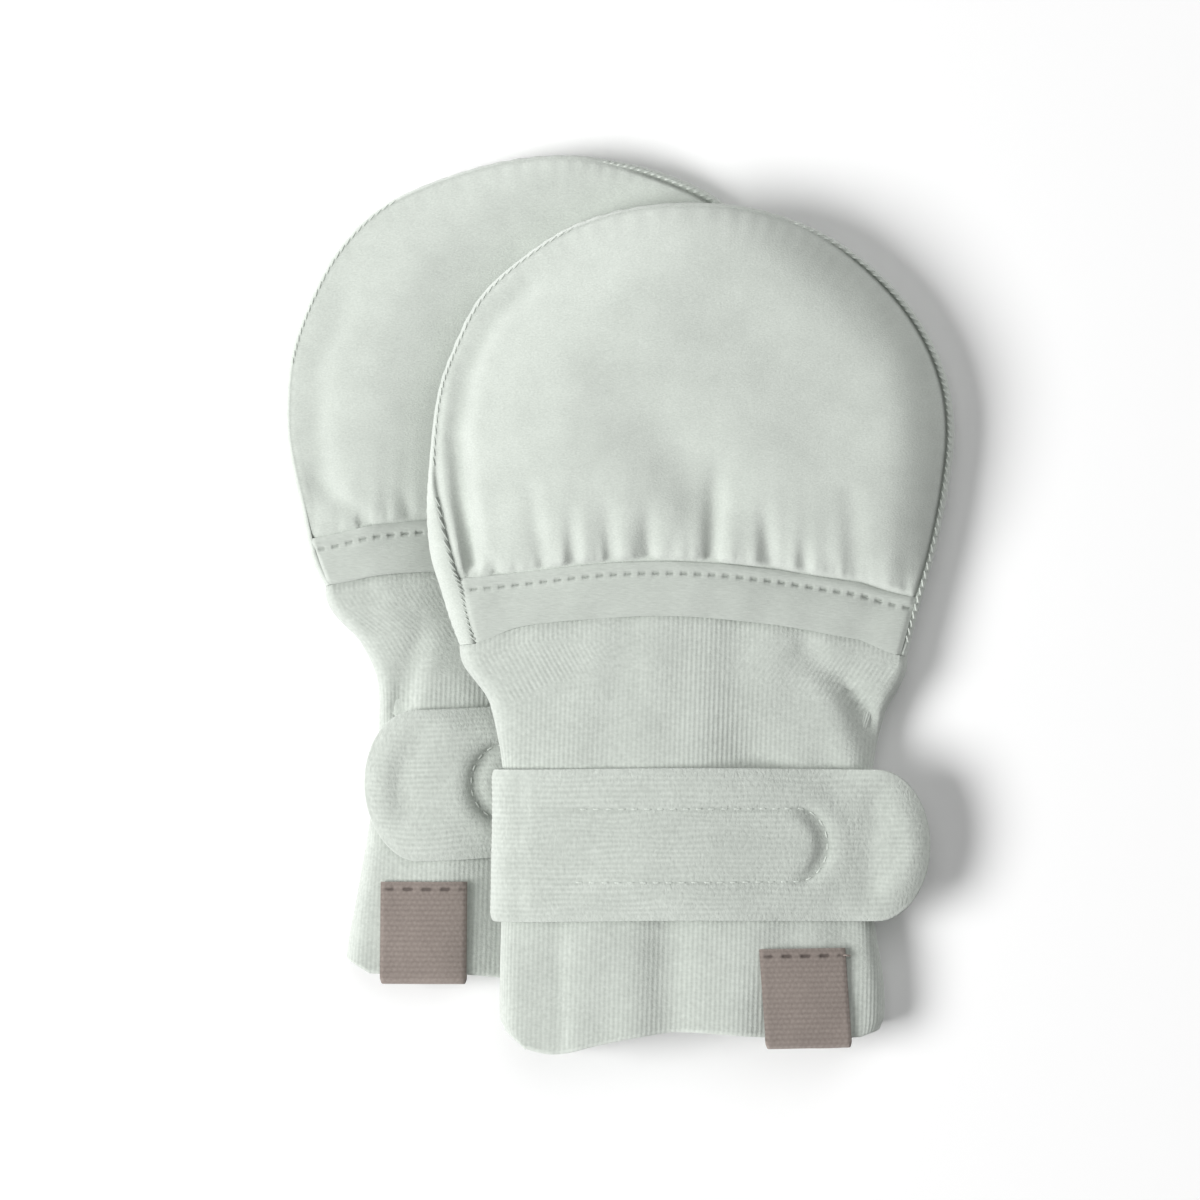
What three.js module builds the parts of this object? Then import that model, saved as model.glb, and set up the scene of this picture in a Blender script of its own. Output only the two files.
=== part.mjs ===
// Pair of baby mittens lying flat, the front one partly on the rear one.
// Millimetres, +Z up. Fingertips point to +Y, cuffs to -Y. Each cloth piece is a wall of its own.
import * as THREE from "three";

// Cloth thicknesses and the gaps between pieces
const JERSEY = 1.2; // hand panels
const RIB = 1.5; // cuff, doubled at the hem
const STRAP = 1.5;
const PATCH = 1.0;
const LABEL = 1.0;
const BAND = 1.6;
const SEAM_GAP = 0.3;
const LAID_GAP = 0.4;
const WRIST_GAP = 0.4; // between the back panel and the cuff round the sides

// Heights of a mitten that lies free, and of one pressed under the other
const HEIGHTS = {
  free: { seam: 8.6, crown: 2.2, dome: 8.5 },
  pressed: { seam: 4.3, crown: 0.2, dome: 3.2 },
};
const SIDE_RADIUS = 6; // how far in the underside starts to round up
const EDGE_TUCK = 1.8; // how far the back panel stays below the seam where it has no rim
const CUFF_SHOULDER = 4; // how far in the top of the cuff starts to round down
const REST_ON_REAR = 8.4; // underside of the front mitten over the rear one
const HEM_DROP = 2.5; // how far the front cuff may sag where nothing is below it
const HEM_BULGE = 0.4; // how far the folded hem stands out
const GATHER_REACH = 6; // how fast the hand rises behind its band
const EDGE_REACH = 24; // how far in the hand reaches its full height
const OVERHANG_SAG = 0.008; // sag of a strap end past the cuff, per square millimetre

// Strap: its middle height on the cuff, half width, round end and tuck under the cuff
const STRAP_HALF = 12.5;
const STRAP_ROUND = 9;
const STRAP_TUCK = 12;
const PATCH_HALF = 6;
const PATCH_RAMP = 4.5; // length over which the strap rises onto its patch
const PATCH_ROUND = 5;
const LABEL_WIDTH = 14.3;
const LABEL_INSIDE = 7;

const COLOURS = { jersey: 0xd3dad4, rib: 0xcfd6d0, label: 0x887f7a };

// Each row of hand holds a point of the outline (sx, sy) and of the seam just inside it (ox, oy),
// from the left wrist over the fingertips to the right wrist.
// Rows of folds: a path, the half width, and the height at its start and end, negative for a trough.
const FRONT = {
  name: "front",
  tip: 1,
  hand: [
    [-23.1, -7.4, -20.4, -7.1],
    [-24.7, -3.2, -21.2, -3.2],
    [-26.2, 1.7, -22.3, 1.5],
    [-27.9, 7.4, -23.8, 5.6],
    [-28.5, 14.0, -25.9, 14.0],
    [-28.2, 21.4, -27.1, 21.4],
    [-26.9, 33.0, -26.2, 32.7],
    [-24.4, 40.9, -23.7, 40.6],
    [-19.8, 49.8, -19.2, 49.3],
    [-12.4, 56.6, -12.0, 56.0],
    [-3.5, 62.0, -3.2, 61.3],
    [8.2, 65.0, 8.2, 64.3],
    [20.6, 65.2, 20.6, 64.5],
    [30.5, 63.2, 30.3, 62.5],
    [39.6, 59.1, 39.0, 58.2],
    [47.9, 52.6, 46.9, 51.6],
    [53.8, 45.0, 52.5, 44.4],
    [57.4, 37.0, 56.0, 36.5],
    [58.7, 28.5, 57.2, 28.5],
    [57.9, 19.8, 56.5, 19.6],
    [55.8, 9.1, 54.5, 9.1],
    [53.0, -1.0, 51.7, -0.9],
    [50.9, -9.3, 49.5, -9.1],
  ],
  bandTop: [[-23.3, 3.5], [-13.2, 4.5], [-0.3, 5.9], [11.6, 6.3], [24.9, 5.4], [42.9, 2.8], [51.8, 0.5]],
  bandLow: [[-20.6, -7.0], [-13.5, -4.5], [-6.6, -3.5], [10.7, -2.6], [28.1, -4.0], [42.9, -6.6], [49.2, -9.1]],
  hem: [[-15.7, -69.6], [-13.0, -72.6], [-7.3, -74.7], [0.0, -73.1], [6.6, -71.8], [13.2, -71.1], [33.0, -72.3],
    [42.0, -72.3], [47.0, -69.6]],
  cuffLeft: [[-7.4, -23.1], [-12.5, -19.6], [-18.5, -17.7], [-27.7, -16.0], [-42.9, -16.0], [-66.0, -16.5],
    [-70.0, -15.7]],
  cuffRight: [[-9.3, 50.9], [-13.2, 49.0], [-21.6, 46.4], [-28.1, 45.2], [-41.2, 45.5], [-52.8, 45.4],
    [-62.9, 46.9], [-70.0, 47.0]],
  strapMiddle: [[-16, -40.3], [15, -40.0], [45, -40.4]],
  strapEnd: 54.5,
  patchRound: 32.4,
  patchLength: 45,
  label: { x: 26.1, y: -57.3, turn: 4 },
  folds: [
    { path: [[-21.0, 7.3], [-22.8, 16.5], [-23.9, 26.9], [-22.3, 37.3]], width: 1.5, from: -1.2, to: -0.5 },
    { path: [[-17.5, 4.1], [-19.4, 7.6]], width: 1.2, from: -1.3, to: -0.4 },
    { path: [[-13.9, 4.5], [-14.2, 6.4]], width: 0.9, from: -0.9, to: -0.2 },
    { path: [[-9.9, 4.8], [-11.6, 15.0]], width: 1.4, from: -2.0, to: -0.4 },
    { path: [[-4.8, 5.4], [-5.6, 13.9]], width: 1.3, from: -1.6, to: -0.3 },
    { path: [[1.0, 6.1], [0.3, 14.5]], width: 1.2, from: -1.6, to: -0.3 },
    { path: [[7.1, 6.3], [6.9, 13.7]], width: 1.2, from: -1.6, to: -0.3 },
    { path: [[10.9, 6.3], [10.9, 8.1]], width: 0.8, from: -0.8, to: -0.2 },
    { path: [[17.5, 6.1], [18.6, 20.0]], width: 1.6, from: -2.3, to: -0.5 },
    { path: [[27.7, 5.0], [26.2, 13.5]], width: 1.4, from: -1.8, to: -0.4 },
    { path: [[33.8, 4.1], [33.3, 9.1]], width: 1.2, from: -1.3, to: -0.3 },
    { path: [[38.6, 3.5], [38.4, 6.6]], width: 1.0, from: -1.1, to: -0.2 },
    { path: [[42.9, 2.8], [41.2, 15.7]], width: 2.0, from: -1.2, to: -0.5 },
    { path: [[1, 40], [8, 28], [17, 19]], width: 7, from: -0.5, to: -1.0 },
    { path: [[38.0, -11.2], [41.7, -18.5], [44.2, -27.2]], width: 1.7, from: -0.8, to: -2.2 },
    { path: [[36.5, -13], [39.2, -20], [41.5, -27]], width: 2.2, from: 0.2, to: 1.0 },
    { path: [[24.8, -8], [25.5, -25]], width: 4, from: -0.5, to: -0.9 },
    { path: [[-5, -10], [-5, -26]], width: 6, from: 0.4, to: 0.7 },
    { path: [[-7, -54], [-6.5, -73]], width: 1.6, from: -0.6, to: -0.9 },
    { path: [[5, -54], [6.5, -71]], width: 4.5, from: -1.0, to: -1.3 },
    { path: [[20, -54], [21, -71]], width: 4.5, from: 0.4, to: 0.7 },
  ],
};
const REAR = {
  name: "rear",
  tip: -1,
  hand: [
    [-45.5, 2.4, -44.3, 2.6],
    [-47.7, 6.9, -46.7, 7.1],
    [-49.5, 15.3, -48.7, 15.5],
    [-51.6, 25.2, -50.8, 25.2],
    [-52.0, 32.2, -51.2, 32.2],
    [-51.2, 40.4, -50.4, 40.2],
    [-48.3, 49.0, -47.6, 48.6],
    [-43.6, 57.8, -43.0, 57.1],
    [-36.8, 64.7, -36.4, 64.0],
    [-28.1, 69.1, -27.8, 68.4],
    [-16.5, 72.6, -16.4, 71.9],
    [-6.1, 73.7, -6.1, 73.0],
    [1.7, 72.9, 1.5, 72.0],
    [9.9, 71.0, 9.4, 69.8],
    [18.2, 67.5, 17.5, 66.2],
    [23.9, 62.7, 23.0, 61.6],
    [28.7, 56.8, 27.7, 55.9],
    [32.2, 47.5, 31.2, 47.0],
    [34.0, 38.0, 33.0, 37.8],
    [34.3, 28.1, 33.2, 28.1],
    [33.7, 18.2, 31.7, 18.2],
    [32.0, 8.2, 28.5, 9.1],
    [26.5, -1.2, 23.4, -0.9],
  ],
  bandTop: [[-47.5, 10.2], [-38.1, 12.2], [-29.0, 13.2], [-16.5, 14.4], [-3.3, 14.9], [13.2, 13.2], [28.4, 9.4]],
  bandLow: [[-44.4, 2.6], [-36.3, 4.1], [-26.9, 4.8], [-16.5, 5.4], [-3.3, 5.6], [9.9, 4.1], [23.4, -0.9]],
  hem: [[-42.1, -59.7], [-39.3, -61.7], [-22.3, -62.0], [-16.5, -62.7], [0.0, -63.7], [16.0, -63.4], [24.3, -60.7]],
  cuffLeft: [[2.4, -45.5], [-1.3, -43.2], [-8.6, -38.8], [-13.2, -36.9], [-19.0, -36.6], [-26.0, -36.9],
    [-35.5, -38.0], [-49.3, -40.3], [-60.0, -42.1]],
  cuffRight: [[-1.2, 26.5], [-5.0, 25.4], [-9.9, 24.8], [-26.4, 24.8], [-56.1, 24.8], [-61.0, 24.3]],
  strapMiddle: [[25, -28.4], [-10, -29.6], [-30, -30.6], [-38, -30.2]],
  strapEnd: -38.9,
  patchRound: -16.3,
  patchLength: 38,
  label: { x: -36.2, y: -46.5, turn: -0.5 },
  folds: [
    { path: [[-38.0, 12.4], [-42.5, 16.2], [-46.4, 20.0]], width: 1.7, from: -1.7, to: -0.5 },
    { path: [[-30.5, 13.2], [-32.8, 17.5]], width: 1.4, from: -1.2, to: -0.3 },
    { path: [[-44.8, 18.0], [-46.2, 26.0], [-46.0, 35.0]], width: 1.8, from: -0.8, to: -0.4 },
    { path: [[-28.9, -4], [-31.7, -12.2], [-32.8, -18.6]], width: 1.8, from: -0.5, to: -1.3 },
    { path: [[-38.2, 2], [-37.4, -10]], width: 2.0, from: -0.6, to: -0.3 },
    { path: [[-39, -45], [-40, -60]], width: 2.2, from: 0.3, to: 0.6 },
  ],
};

// Grid of each piece, columns by rows
const GRID = {
  front: { palm: 54, back: 36, ring: 16, bottom: 9, cuffRows: 9, strap: 16, band: 34 },
  rear: { palm: 40, back: 32, ring: 14, bottom: 8, cuffRows: 8, strap: 14, band: 24 },
};
const PALM_ROWS = [0, 0.05, 0.12, 0.21, 0.33, 0.48, 0.64, 0.78, 0.89, 0.96, 1];
const FLAT_ROWS = [0, 0.3, 0.6, 0.85, 1];
const ARC_STEPS = 6; // steps of a side arc from the underside to the seam

const clamp = (v, low = 0, high = 1) => Math.min(high, Math.max(low, v));
const lerp = (a, b, t) => a + (b - a) * t;
const mix = (a, b, t) => a.map((v, k) => lerp(v, b[k], t));
const ease = (low, high, v) => {
  const t = clamp((v - low) / (high - low));
  return t * t * (3 - 2 * t);
};

// Value of a smooth curve through rows [key, value, ...] at a key; constant past its ends.
function along(rows, key, column = 1) {
  const sorted = rows[0][0] < rows[rows.length - 1][0] ? rows : [...rows].reverse();
  const last = sorted.length - 1;
  if (key <= sorted[0][0]) return sorted[0][column];
  if (key >= sorted[last][0]) return sorted[last][column];
  const i = sorted.findIndex((row) => row[0] > key) - 1;
  return spline(sorted, i, (key - sorted[i][0]) / (sorted[i + 1][0] - sorted[i][0]), column);
}

// Catmull-Rom value between rows i and i + 1.
function spline(rows, i, t, column) {
  const last = rows.length - 1;
  const [a, b, c, d] = [i - 1, i, i + 1, i + 2].map((k) => rows[clamp(k, 0, last)][column]);
  return b + 0.5 * t * (c - a + t * (2 * a - 5 * b + 4 * c - d + t * (3 * (b - c) + d - a)));
}

// Outline (column 0) or seam (column 2) point at u, from 0 at the left wrist to 1 at the right.
function handPoint(mitten, u, column) {
  const rows = mitten.hand;
  const place = clamp(u) * (rows.length - 1);
  const i = Math.min(Math.floor(place), rows.length - 2);
  return [spline(rows, i, place - i, column), spline(rows, i, place - i, column + 1)];
}

// Unit direction from the outline into the hand, level at both wrists.
function inward(mitten, u) {
  const step = 0.004;
  const [ax, ay] = handPoint(mitten, u - step, 0);
  const [bx, by] = handPoint(mitten, u + step, 0);
  const level = Math.max(ease(0.1, 0, u), ease(0.9, 1, u));
  const x = lerp(by - ay, Math.sign(0.5 - u) * Math.hypot(bx - ax, by - ay), level);
  const y = lerp(ax - bx, 0, level);
  const size = Math.hypot(x, y);
  return [x / size, y / size];
}

// The whole outline of a mitten from above, as a closed polygon.
function outline(mitten) {
  const hand = Array.from({ length: 61 }, (_, i) => handPoint(mitten, i / 60, 0));
  const right = mitten.cuffRight.filter(([y]) => y < hand[60][1]).map(([y, x]) => [x, y]);
  const left = mitten.cuffLeft.filter(([y]) => y < hand[0][1]).map(([y, x]) => [x, y]);
  const hem = [...mitten.hem].reverse().slice(1, -1);
  return [...hand, ...right, ...hem, ...left.reverse()];
}

// Nearest point of a path: its distance and how far along it lies, 0 to 1.
function nearest(path, x, y, closed = false) {
  const count = closed ? path.length : path.length - 1;
  let best = { distance: Infinity, share: 0 };
  for (let i = 0; i < count; i++) {
    const [ax, ay] = path[i];
    const [bx, by] = path[(i + 1) % path.length];
    const [dx, dy] = [bx - ax, by - ay];
    const t = clamp(((x - ax) * dx + (y - ay) * dy) / (dx * dx + dy * dy));
    const distance = Math.hypot(x - ax - t * dx, y - ay - t * dy);
    if (distance < best.distance) best = { distance, share: (i + t) / count };
  }
  return best;
}

// Distance outside a closed outline, negative inside it.
function outside(polygon, x, y) {
  let inside = false;
  polygon.forEach(([ax, ay], i) => {
    const [bx, by] = polygon[(i + 1) % polygon.length];
    if (ay > y !== by > y && x < ax + ((y - ay) * (bx - ax)) / (by - ay)) inside = !inside;
  });
  const { distance } = nearest(polygon, x, y, true);
  return inside ? -distance : distance;
}

const OUTLINES = { front: outline(FRONT), rear: outline(REAR) };
const SEAMS = Object.fromEntries(
  [FRONT, REAR].map((m) => [m.name, Array.from({ length: 81 }, (_, i) => handPoint(m, i / 80, 2))]),
);

// How free a spot is: 1 in the open, 0 where the front mitten presses on the rear one.
const freedom = (mitten, x, y) =>
  mitten === FRONT ? 1 : ease(-4, 12, outside(OUTLINES.front, x, y));

const height = (mitten, x, y, what) =>
  lerp(HEIGHTS.pressed[what], HEIGHTS.free[what], freedom(mitten, x, y));

// How far the top of the front mitten is carried up, falling to 0 where it lies on the floor.
const swell = (mitten, x) => (mitten === FRONT ? REST_ON_REAR * (1 - ease(12, 54, x)) : 0);

// Height of what a mitten's underside lies on.
function lift(mitten, x, y) {
  if (mitten === REAR) return 0;
  const rest = REST_ON_REAR * (1 - ease(1, 14, outside(OUTLINES.rear, x, y)));
  return Math.max(rest, swell(mitten, x) - HEM_DROP, 0);
}

// Sum of a mitten's folds at a spot.
function folds(mitten, x, y) {
  let sum = 0;
  for (const { path, width, from, to } of mitten.folds) {
    const { distance, share } = nearest(path, x, y);
    if (distance < width * 3) sum += lerp(from, to, share) * Math.exp(-((distance / width) ** 2));
  }
  return sum * lerp(0.2, 1, freedom(mitten, x, y));
}

// Crown of the wrist across its width, 0 at the sides and 1 in the middle.
const crown = (share) => 1 - Math.abs(2 * clamp(share) - 1) ** 2.4;

// Closes a grid of points into one body. A ring grid closes round its first index as well.
function closedBody(outer, inner, { ring = false, edge = null } = {}) {
  const loops = outer.map((column, i) => {
    const fold = edge ? [edge[i]] : [];
    return [...column, ...fold, ...[...inner[i]].reverse()];
  });
  const rows = loops[0].length;
  const positions = loops.flat(2);
  const faces = [];
  const at = (i, j) => (i % loops.length) * rows + (j % rows);
  const columns = ring ? loops.length : loops.length - 1;
  for (let i = 0; i < columns; i++) {
    for (let j = 0; j < rows; j++) {
      faces.push(at(i, j), at(i + 1, j), at(i + 1, j + 1), at(i, j), at(i + 1, j + 1), at(i, j + 1));
    }
  }
  if (!ring) {
    for (let j = 0; j + 1 < outer[0].length; j++) {
      for (const [i, turned] of [[0, false], [loops.length - 1, true]]) {
        const corners = [at(i, j), at(i, j + 1), at(i, rows - 2 - j), at(i, rows - 1 - j)];
        const [a, b, c, d] = turned ? corners.reverse() : corners;
        faces.push(a, b, c, a, c, d);
      }
    }
    if (edge) throw new Error("an open grid has no folded edge");
  }
  const geometry = new THREE.BufferGeometry();
  geometry.setAttribute("position", new THREE.Float32BufferAttribute(positions, 3));
  geometry.setIndex(signedVolume(positions, faces) < 0 ? faces.reverse() : faces);
  return geometry;
}

function signedVolume(positions, faces) {
  const corner = (k) => new THREE.Vector3().fromArray(positions, faces[k] * 3);
  let sum = 0;
  for (let k = 0; k < faces.length; k += 3) sum += corner(k).dot(corner(k + 1).cross(corner(k + 2)));
  return sum;
}

// Moves each point of a grid along its surface normal. Up is the side the normals point to.
function offset(grid, distance, up) {
  return grid.map((column, i) => column.map((point, j) => {
    const before = grid[Math.max(i - 1, 0)][j];
    const after = grid[Math.min(i + 1, grid.length - 1)][j];
    const low = column[Math.max(j - 1, 0)];
    const high = column[Math.min(j + 1, column.length - 1)];
    const across = new THREE.Vector3(...after).sub(new THREE.Vector3(...before));
    const down = new THREE.Vector3(...high).sub(new THREE.Vector3(...low));
    const normal = across.cross(down).normalize().multiplyScalar(up * distance);
    return point.map((v, k) => v + normal.getComponent(k));
  }));
}

// Side of a mitten, from angle -90 degrees on the underside over 0 at the outline to 90 at the top.
function sideArc(start, side, end, low, high, angle) {
  const plan = angle < 0
    ? mix(start, side, Math.cos(angle))
    : mix(side, end, 1 - Math.cos(angle));
  return [plan[0], plan[1], lerp(low, high, (1 + Math.sin(angle)) / 2)];
}

const arcAngles = Array.from({ length: ARC_STEPS }, (_, k) => (-0.5 + (k + 1) / ARC_STEPS) * Math.PI);

// Back panel: flat underside, rounding up at its sides to the seam.
function backPanel(mitten) {
  const columns = GRID[mitten.name].back;
  const wristStep = 1.2;
  const foot = (u) => {
    const [x, y] = handPoint(mitten, u, 0);
    const [dx, dy] = inward(mitten, u);
    return [x + dx * SIDE_RADIUS, y + dy * SIDE_RADIUS];
  };
  const [left, right] = [foot(0), foot(1)];
  const outer = [];
  const inner = [];
  for (let i = 0; i <= columns; i++) {
    const u = i / columns;
    const wrist = mix([left[0] + wristStep, left[1]], [right[0] - wristStep, right[1]], u);
    const seam = handPoint(mitten, u, 2);
    const side = handPoint(mitten, u, 0);
    const [dx, dy] = inward(mitten, u);
    const low = lift(mitten, ...side);
    const flat = FLAT_ROWS.map((v) => {
      const [x, y] = mix(wrist, foot(u), v);
      return [x, y, v < 1 ? lift(mitten, x, y) : low];
    });
    // Where the seam is at the outline itself, the palm panel comes down over this panel's edge.
    const rim = -outside(OUTLINES[mitten.name], ...seam);
    const tucked = EDGE_TUCK * (1 - ease(0.9, 1.35, rim));
    const top = swell(mitten, seam[0]) + height(mitten, ...seam, "seam") - tucked;
    const arc = arcAngles.map((angle) => sideArc(foot(u), side, seam, low, top, angle));
    outer.push([...flat, ...arc]);
    inner.push([
      ...flat.map(([x, y, z]) => [x, y, z + JERSEY]),
      ...arc.map(([x, y, z], k) => {
        const level = JERSEY * Math.cos(arcAngles[k]);
        return [x + dx * level, y + dy * level, z - JERSEY * Math.sin(arcAngles[k])];
      }),
    ]);
  }
  return closedBody(outer, inner);
}

// Where the seam passes the ends of a band edge.
function seamAt(mitten, y, right) {
  const steps = 400;
  for (let k = 0; k <= steps; k++) {
    const u = right ? 1 - k / steps / 2 : k / steps / 2;
    if (handPoint(mitten, u, 2)[1] >= y) return u;
  }
  return right ? 1 : 0;
}

// Top of the hand without its folds: domed between the seam and the band.
function palmHeight(mitten, x, y, share) {
  const fromBand = Math.max(y - along(mitten.bandTop, x), 0);
  const fromSeam = nearest(SEAMS[mitten.name], x, y).distance;
  const edge = 1 - (1 - clamp(fromSeam / EDGE_REACH)) ** 3.2;
  const rise = 1 - Math.exp(-(fromBand + 0.8) / GATHER_REACH);
  const base = swell(mitten, x) + height(mitten, x, y, "seam");
  const wrist = height(mitten, x, y, "crown") * crown(share) * Math.exp(-fromBand / 12);
  return base + wrist + height(mitten, x, y, "dome") * edge * rise;
}

// Palm panel: gathered into the band below, sewn to the back panel round its edge.
function palmPanel(mitten) {
  const columns = GRID[mitten.name].palm;
  const cornerStep = 1.6;
  const [first, last] = [seamAt(mitten, mitten.bandTop[0][1] + SEAM_GAP, false),
    seamAt(mitten, mitten.bandTop.at(-1)[1] + SEAM_GAP, true)];
  const left = handPoint(mitten, first, 2)[0] + cornerStep;
  const right = handPoint(mitten, last, 2)[0] - cornerStep;
  const plain = [];
  for (let i = 0; i <= columns; i++) {
    const share = i / columns;
    const u = lerp(first, last, share);
    const [dx, dy] = inward(mitten, u);
    const [sx, sy] = handPoint(mitten, u, 2);
    const seam = [sx + dx * SEAM_GAP, sy + dy * SEAM_GAP];
    const x = lerp(left, right, share);
    const band = [x, along(mitten.bandTop, x) + SEAM_GAP];
    const guide = [lerp(x, seam[0], 0.2), lerp(band[1], seam[1], 0.5)];
    plain.push(PALM_ROWS.map((v) => {
      const [px, py] = mix(mix(band, guide, v), mix(guide, seam, v), v);
      return [px, py, palmHeight(mitten, px, py, (px - left) / (right - left))];
    }));
  }
  const under = offset(plain, JERSEY, -1);
  const fold = plain.map((column) => column.map(([x, y]) => folds(mitten, x, y)));
  const raise = (grid) => grid.map((c, i) => c.map(([x, y, z], j) => [x, y, z + fold[i][j]]));
  return closedBody(raise(plain), raise(under));
}

// Band that holds the gathers, between the palm panel and the cuff.
function band(mitten) {
  const columns = GRID[mitten.name].band;
  const proud = 0.4;
  const ends = [mitten.bandTop, mitten.bandLow].map((edge, row) => {
    const gap = row ? 0.1 : -0.1;
    const [a, b] = row
      ? [0, 1]
      : [seamAt(mitten, edge[0][1], false), seamAt(mitten, edge.at(-1)[1], true)];
    return [handPoint(mitten, a, 2)[0] + 0.45 + gap, handPoint(mitten, b, 2)[0] - 0.45 - gap];
  });
  const outer = [];
  for (let i = 0; i <= columns; i++) {
    const share = i / columns;
    const topX = lerp(...ends[0], share);
    const lowX = lerp(...ends[1], share);
    const edges = [[topX, along(mitten.bandTop, topX)], [lowX, along(mitten.bandLow, lowX) + SEAM_GAP]];
    outer.push([0, 0.33, 0.67, 1].map((v) => {
      const [x, y] = mix(edges[0], edges[1], v);
      const z = swell(mitten, x) + height(mitten, x, y, "seam")
        + height(mitten, x, y, "crown") * crown(share) + proud * crown(share);
      return [x, y, z];
    }));
  }
  const inner = outer.map((column) => column.map(([x, y, z]) => [x, y, z - BAND]));
  return closedBody(outer, inner);
}

// Side points of the cuff at a share of its length: foot, outline and shoulder.
function cuffSides(mitten, share, right) {
  const edge = right ? mitten.cuffRight : mitten.cuffLeft;
  const inwardX = right ? -1 : 1;
  const [sx, sy, ox, oy] = mitten.hand.at(right ? -1 : 0);
  const hemX = right ? mitten.hem.at(-1)[0] : mitten.hem[0][0];
  const sideY = lerp(sy - WRIST_GAP, along(mitten.hem, hemX), share);
  const topY = lerp(oy - WRIST_GAP, along(mitten.hem, hemX + inwardX * CUFF_SHOULDER), share);
  const start = ease(0, 0.15, share);
  const shoulder = lerp(ox, along(edge, topY) + inwardX * CUFF_SHOULDER, start);
  const side = lerp(sx, along(edge, sideY), start);
  return { foot: [side + inwardX * SIDE_RADIUS, sideY], side: [side, sideY], top: [shoulder, topY] };
}

// Where the strap is tucked under the cuff, the cuff's underside lies on it.
function tuckLift(mitten, x, y) {
  const wrapped = mitten.tip > 0 ? mitten.cuffLeft : mitten.cuffRight;
  const fromEdge = (x - along(wrapped, y)) * mitten.tip;
  const across = Math.abs(y - along(mitten.strapMiddle, x));
  const lifted = STRAP + LAID_GAP;
  const near = ease(STRAP_HALF + 9.5, STRAP_HALF + 4.5, across) * ease(STRAP_TUCK + 11, STRAP_TUCK + 3, fromEdge);
  return lifted * near;
}

// A point of the cuff and its outward direction across the tube.
// side is bottom, left, top or right; place is 0 to 1 from left to right, or the arc's angle.
function cuffPoint(mitten, side, place, share) {
  const left = cuffSides(mitten, share, false);
  const right = cuffSides(mitten, share, true);
  const key = side === "bottom" ? "foot" : "top";
  if (side === "bottom" || side === "top") {
    const [start, end] = [0, 1].map((row) => mix(cuffSides(mitten, row, false)[key],
      cuffSides(mitten, row, true)[key], place));
    const startY = side === "bottom" ? start[1] : along(mitten.bandLow, start[0]) - SEAM_GAP;
    const y = lerp(startY, along(mitten.hem, end[0]), share);
    const x = lerp(left[key][0], right[key][0], place);
    return side === "bottom"
      ? { point: [x, y, lift(mitten, x, y) + tuckLift(mitten, x, y)], out: [0, -1] }
      : { point: [x, y, cuffTop(mitten, x, y, place)], out: [0, 1] };
  }
  const { foot, side: edge, top } = side === "left" ? left : right;
  const low = lift(mitten, ...edge) + tuckLift(mitten, ...foot);
  const high = cuffTop(mitten, ...top, 0);
  const outX = (side === "left" ? -1 : 1) * Math.cos(place);
  return { point: sideArc(foot, edge, top, low, high, place), out: [outX, Math.sin(place)] };
}

// Height of the cuff's top. Bridged is what lies on it, which spans the troughs.
function cuffTop(mitten, x, y, share, bridged = false) {
  const fold = folds(mitten, x, y);
  const base = swell(mitten, x) + height(mitten, x, y, "seam");
  const plain = base + height(mitten, x, y, "crown") * crown(share);
  return plain + (bridged ? Math.max(fold, 0) : fold);
}

// The places round the cuff, from the left foot along the underside and back over the top.
function ringPlaces(mitten) {
  const { ring, bottom } = GRID[mitten.name];
  const places = [];
  for (let i = 0; i <= bottom; i++) places.push(["bottom", i / bottom]);
  for (const angle of arcAngles) places.push(["right", angle]);
  for (let i = 1; i < ring; i++) places.push(["top", 1 - i / ring]);
  for (const angle of [...arcAngles].reverse()) places.push(["left", angle]);
  return places;
}

// Cuff: an open tube folded at the hem.
function cuff(mitten) {
  const rows = GRID[mitten.name].cuffRows;
  const outer = [];
  const inner = [];
  const edge = [];
  for (const [side, place] of ringPlaces(mitten)) {
    const spots = Array.from({ length: rows + 1 }, (_, j) => cuffPoint(mitten, side, place, j / rows));
    const moved = (d) => spots.map(({ point: [x, y, z], out }) => [x + out[0] * d, y, z + out[1] * d]);
    outer.push(moved(0));
    inner.push(moved(-RIB));
    const [x, y, z] = moved(-RIB / 2).at(-1);
    edge.push([x, y - HEM_BULGE, z]);
  }
  return closedBody(outer, inner, { ring: true, edge });
}

// A point over the cuff's outside at a given y, moved out by a distance.
function overCuff(mitten, side, place, y, distance) {
  const from = cuffPoint(mitten, side, place, 0).point[1];
  const to = cuffPoint(mitten, side, place, 1).point[1];
  const { point, out } = cuffPoint(mitten, side, place, (y - from) / (to - from));
  return [point[0] + out[0] * distance, y, point[2] + out[1] * distance];
}

// A point over the cuff's top at x and y. Past the shoulder it keeps the shoulder's height.
function overTop(mitten, x, y, distance) {
  const shareAt = (place) => {
    const from = cuffPoint(mitten, "top", place, 0).point[1];
    const to = cuffPoint(mitten, "top", place, 1).point[1];
    return (y - from) / (to - from);
  };
  const share = shareAt(0.5);
  const left = cuffSides(mitten, share, false).top[0];
  const right = cuffSides(mitten, share, true).top[0];
  const inside = clamp(x, left, right);
  const past = Math.abs(x - inside);
  const z = cuffTop(mitten, inside, y, (inside - left) / (right - left), true);
  return [x, y, z + distance - past * past * OVERHANG_SAG];
}

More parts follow.
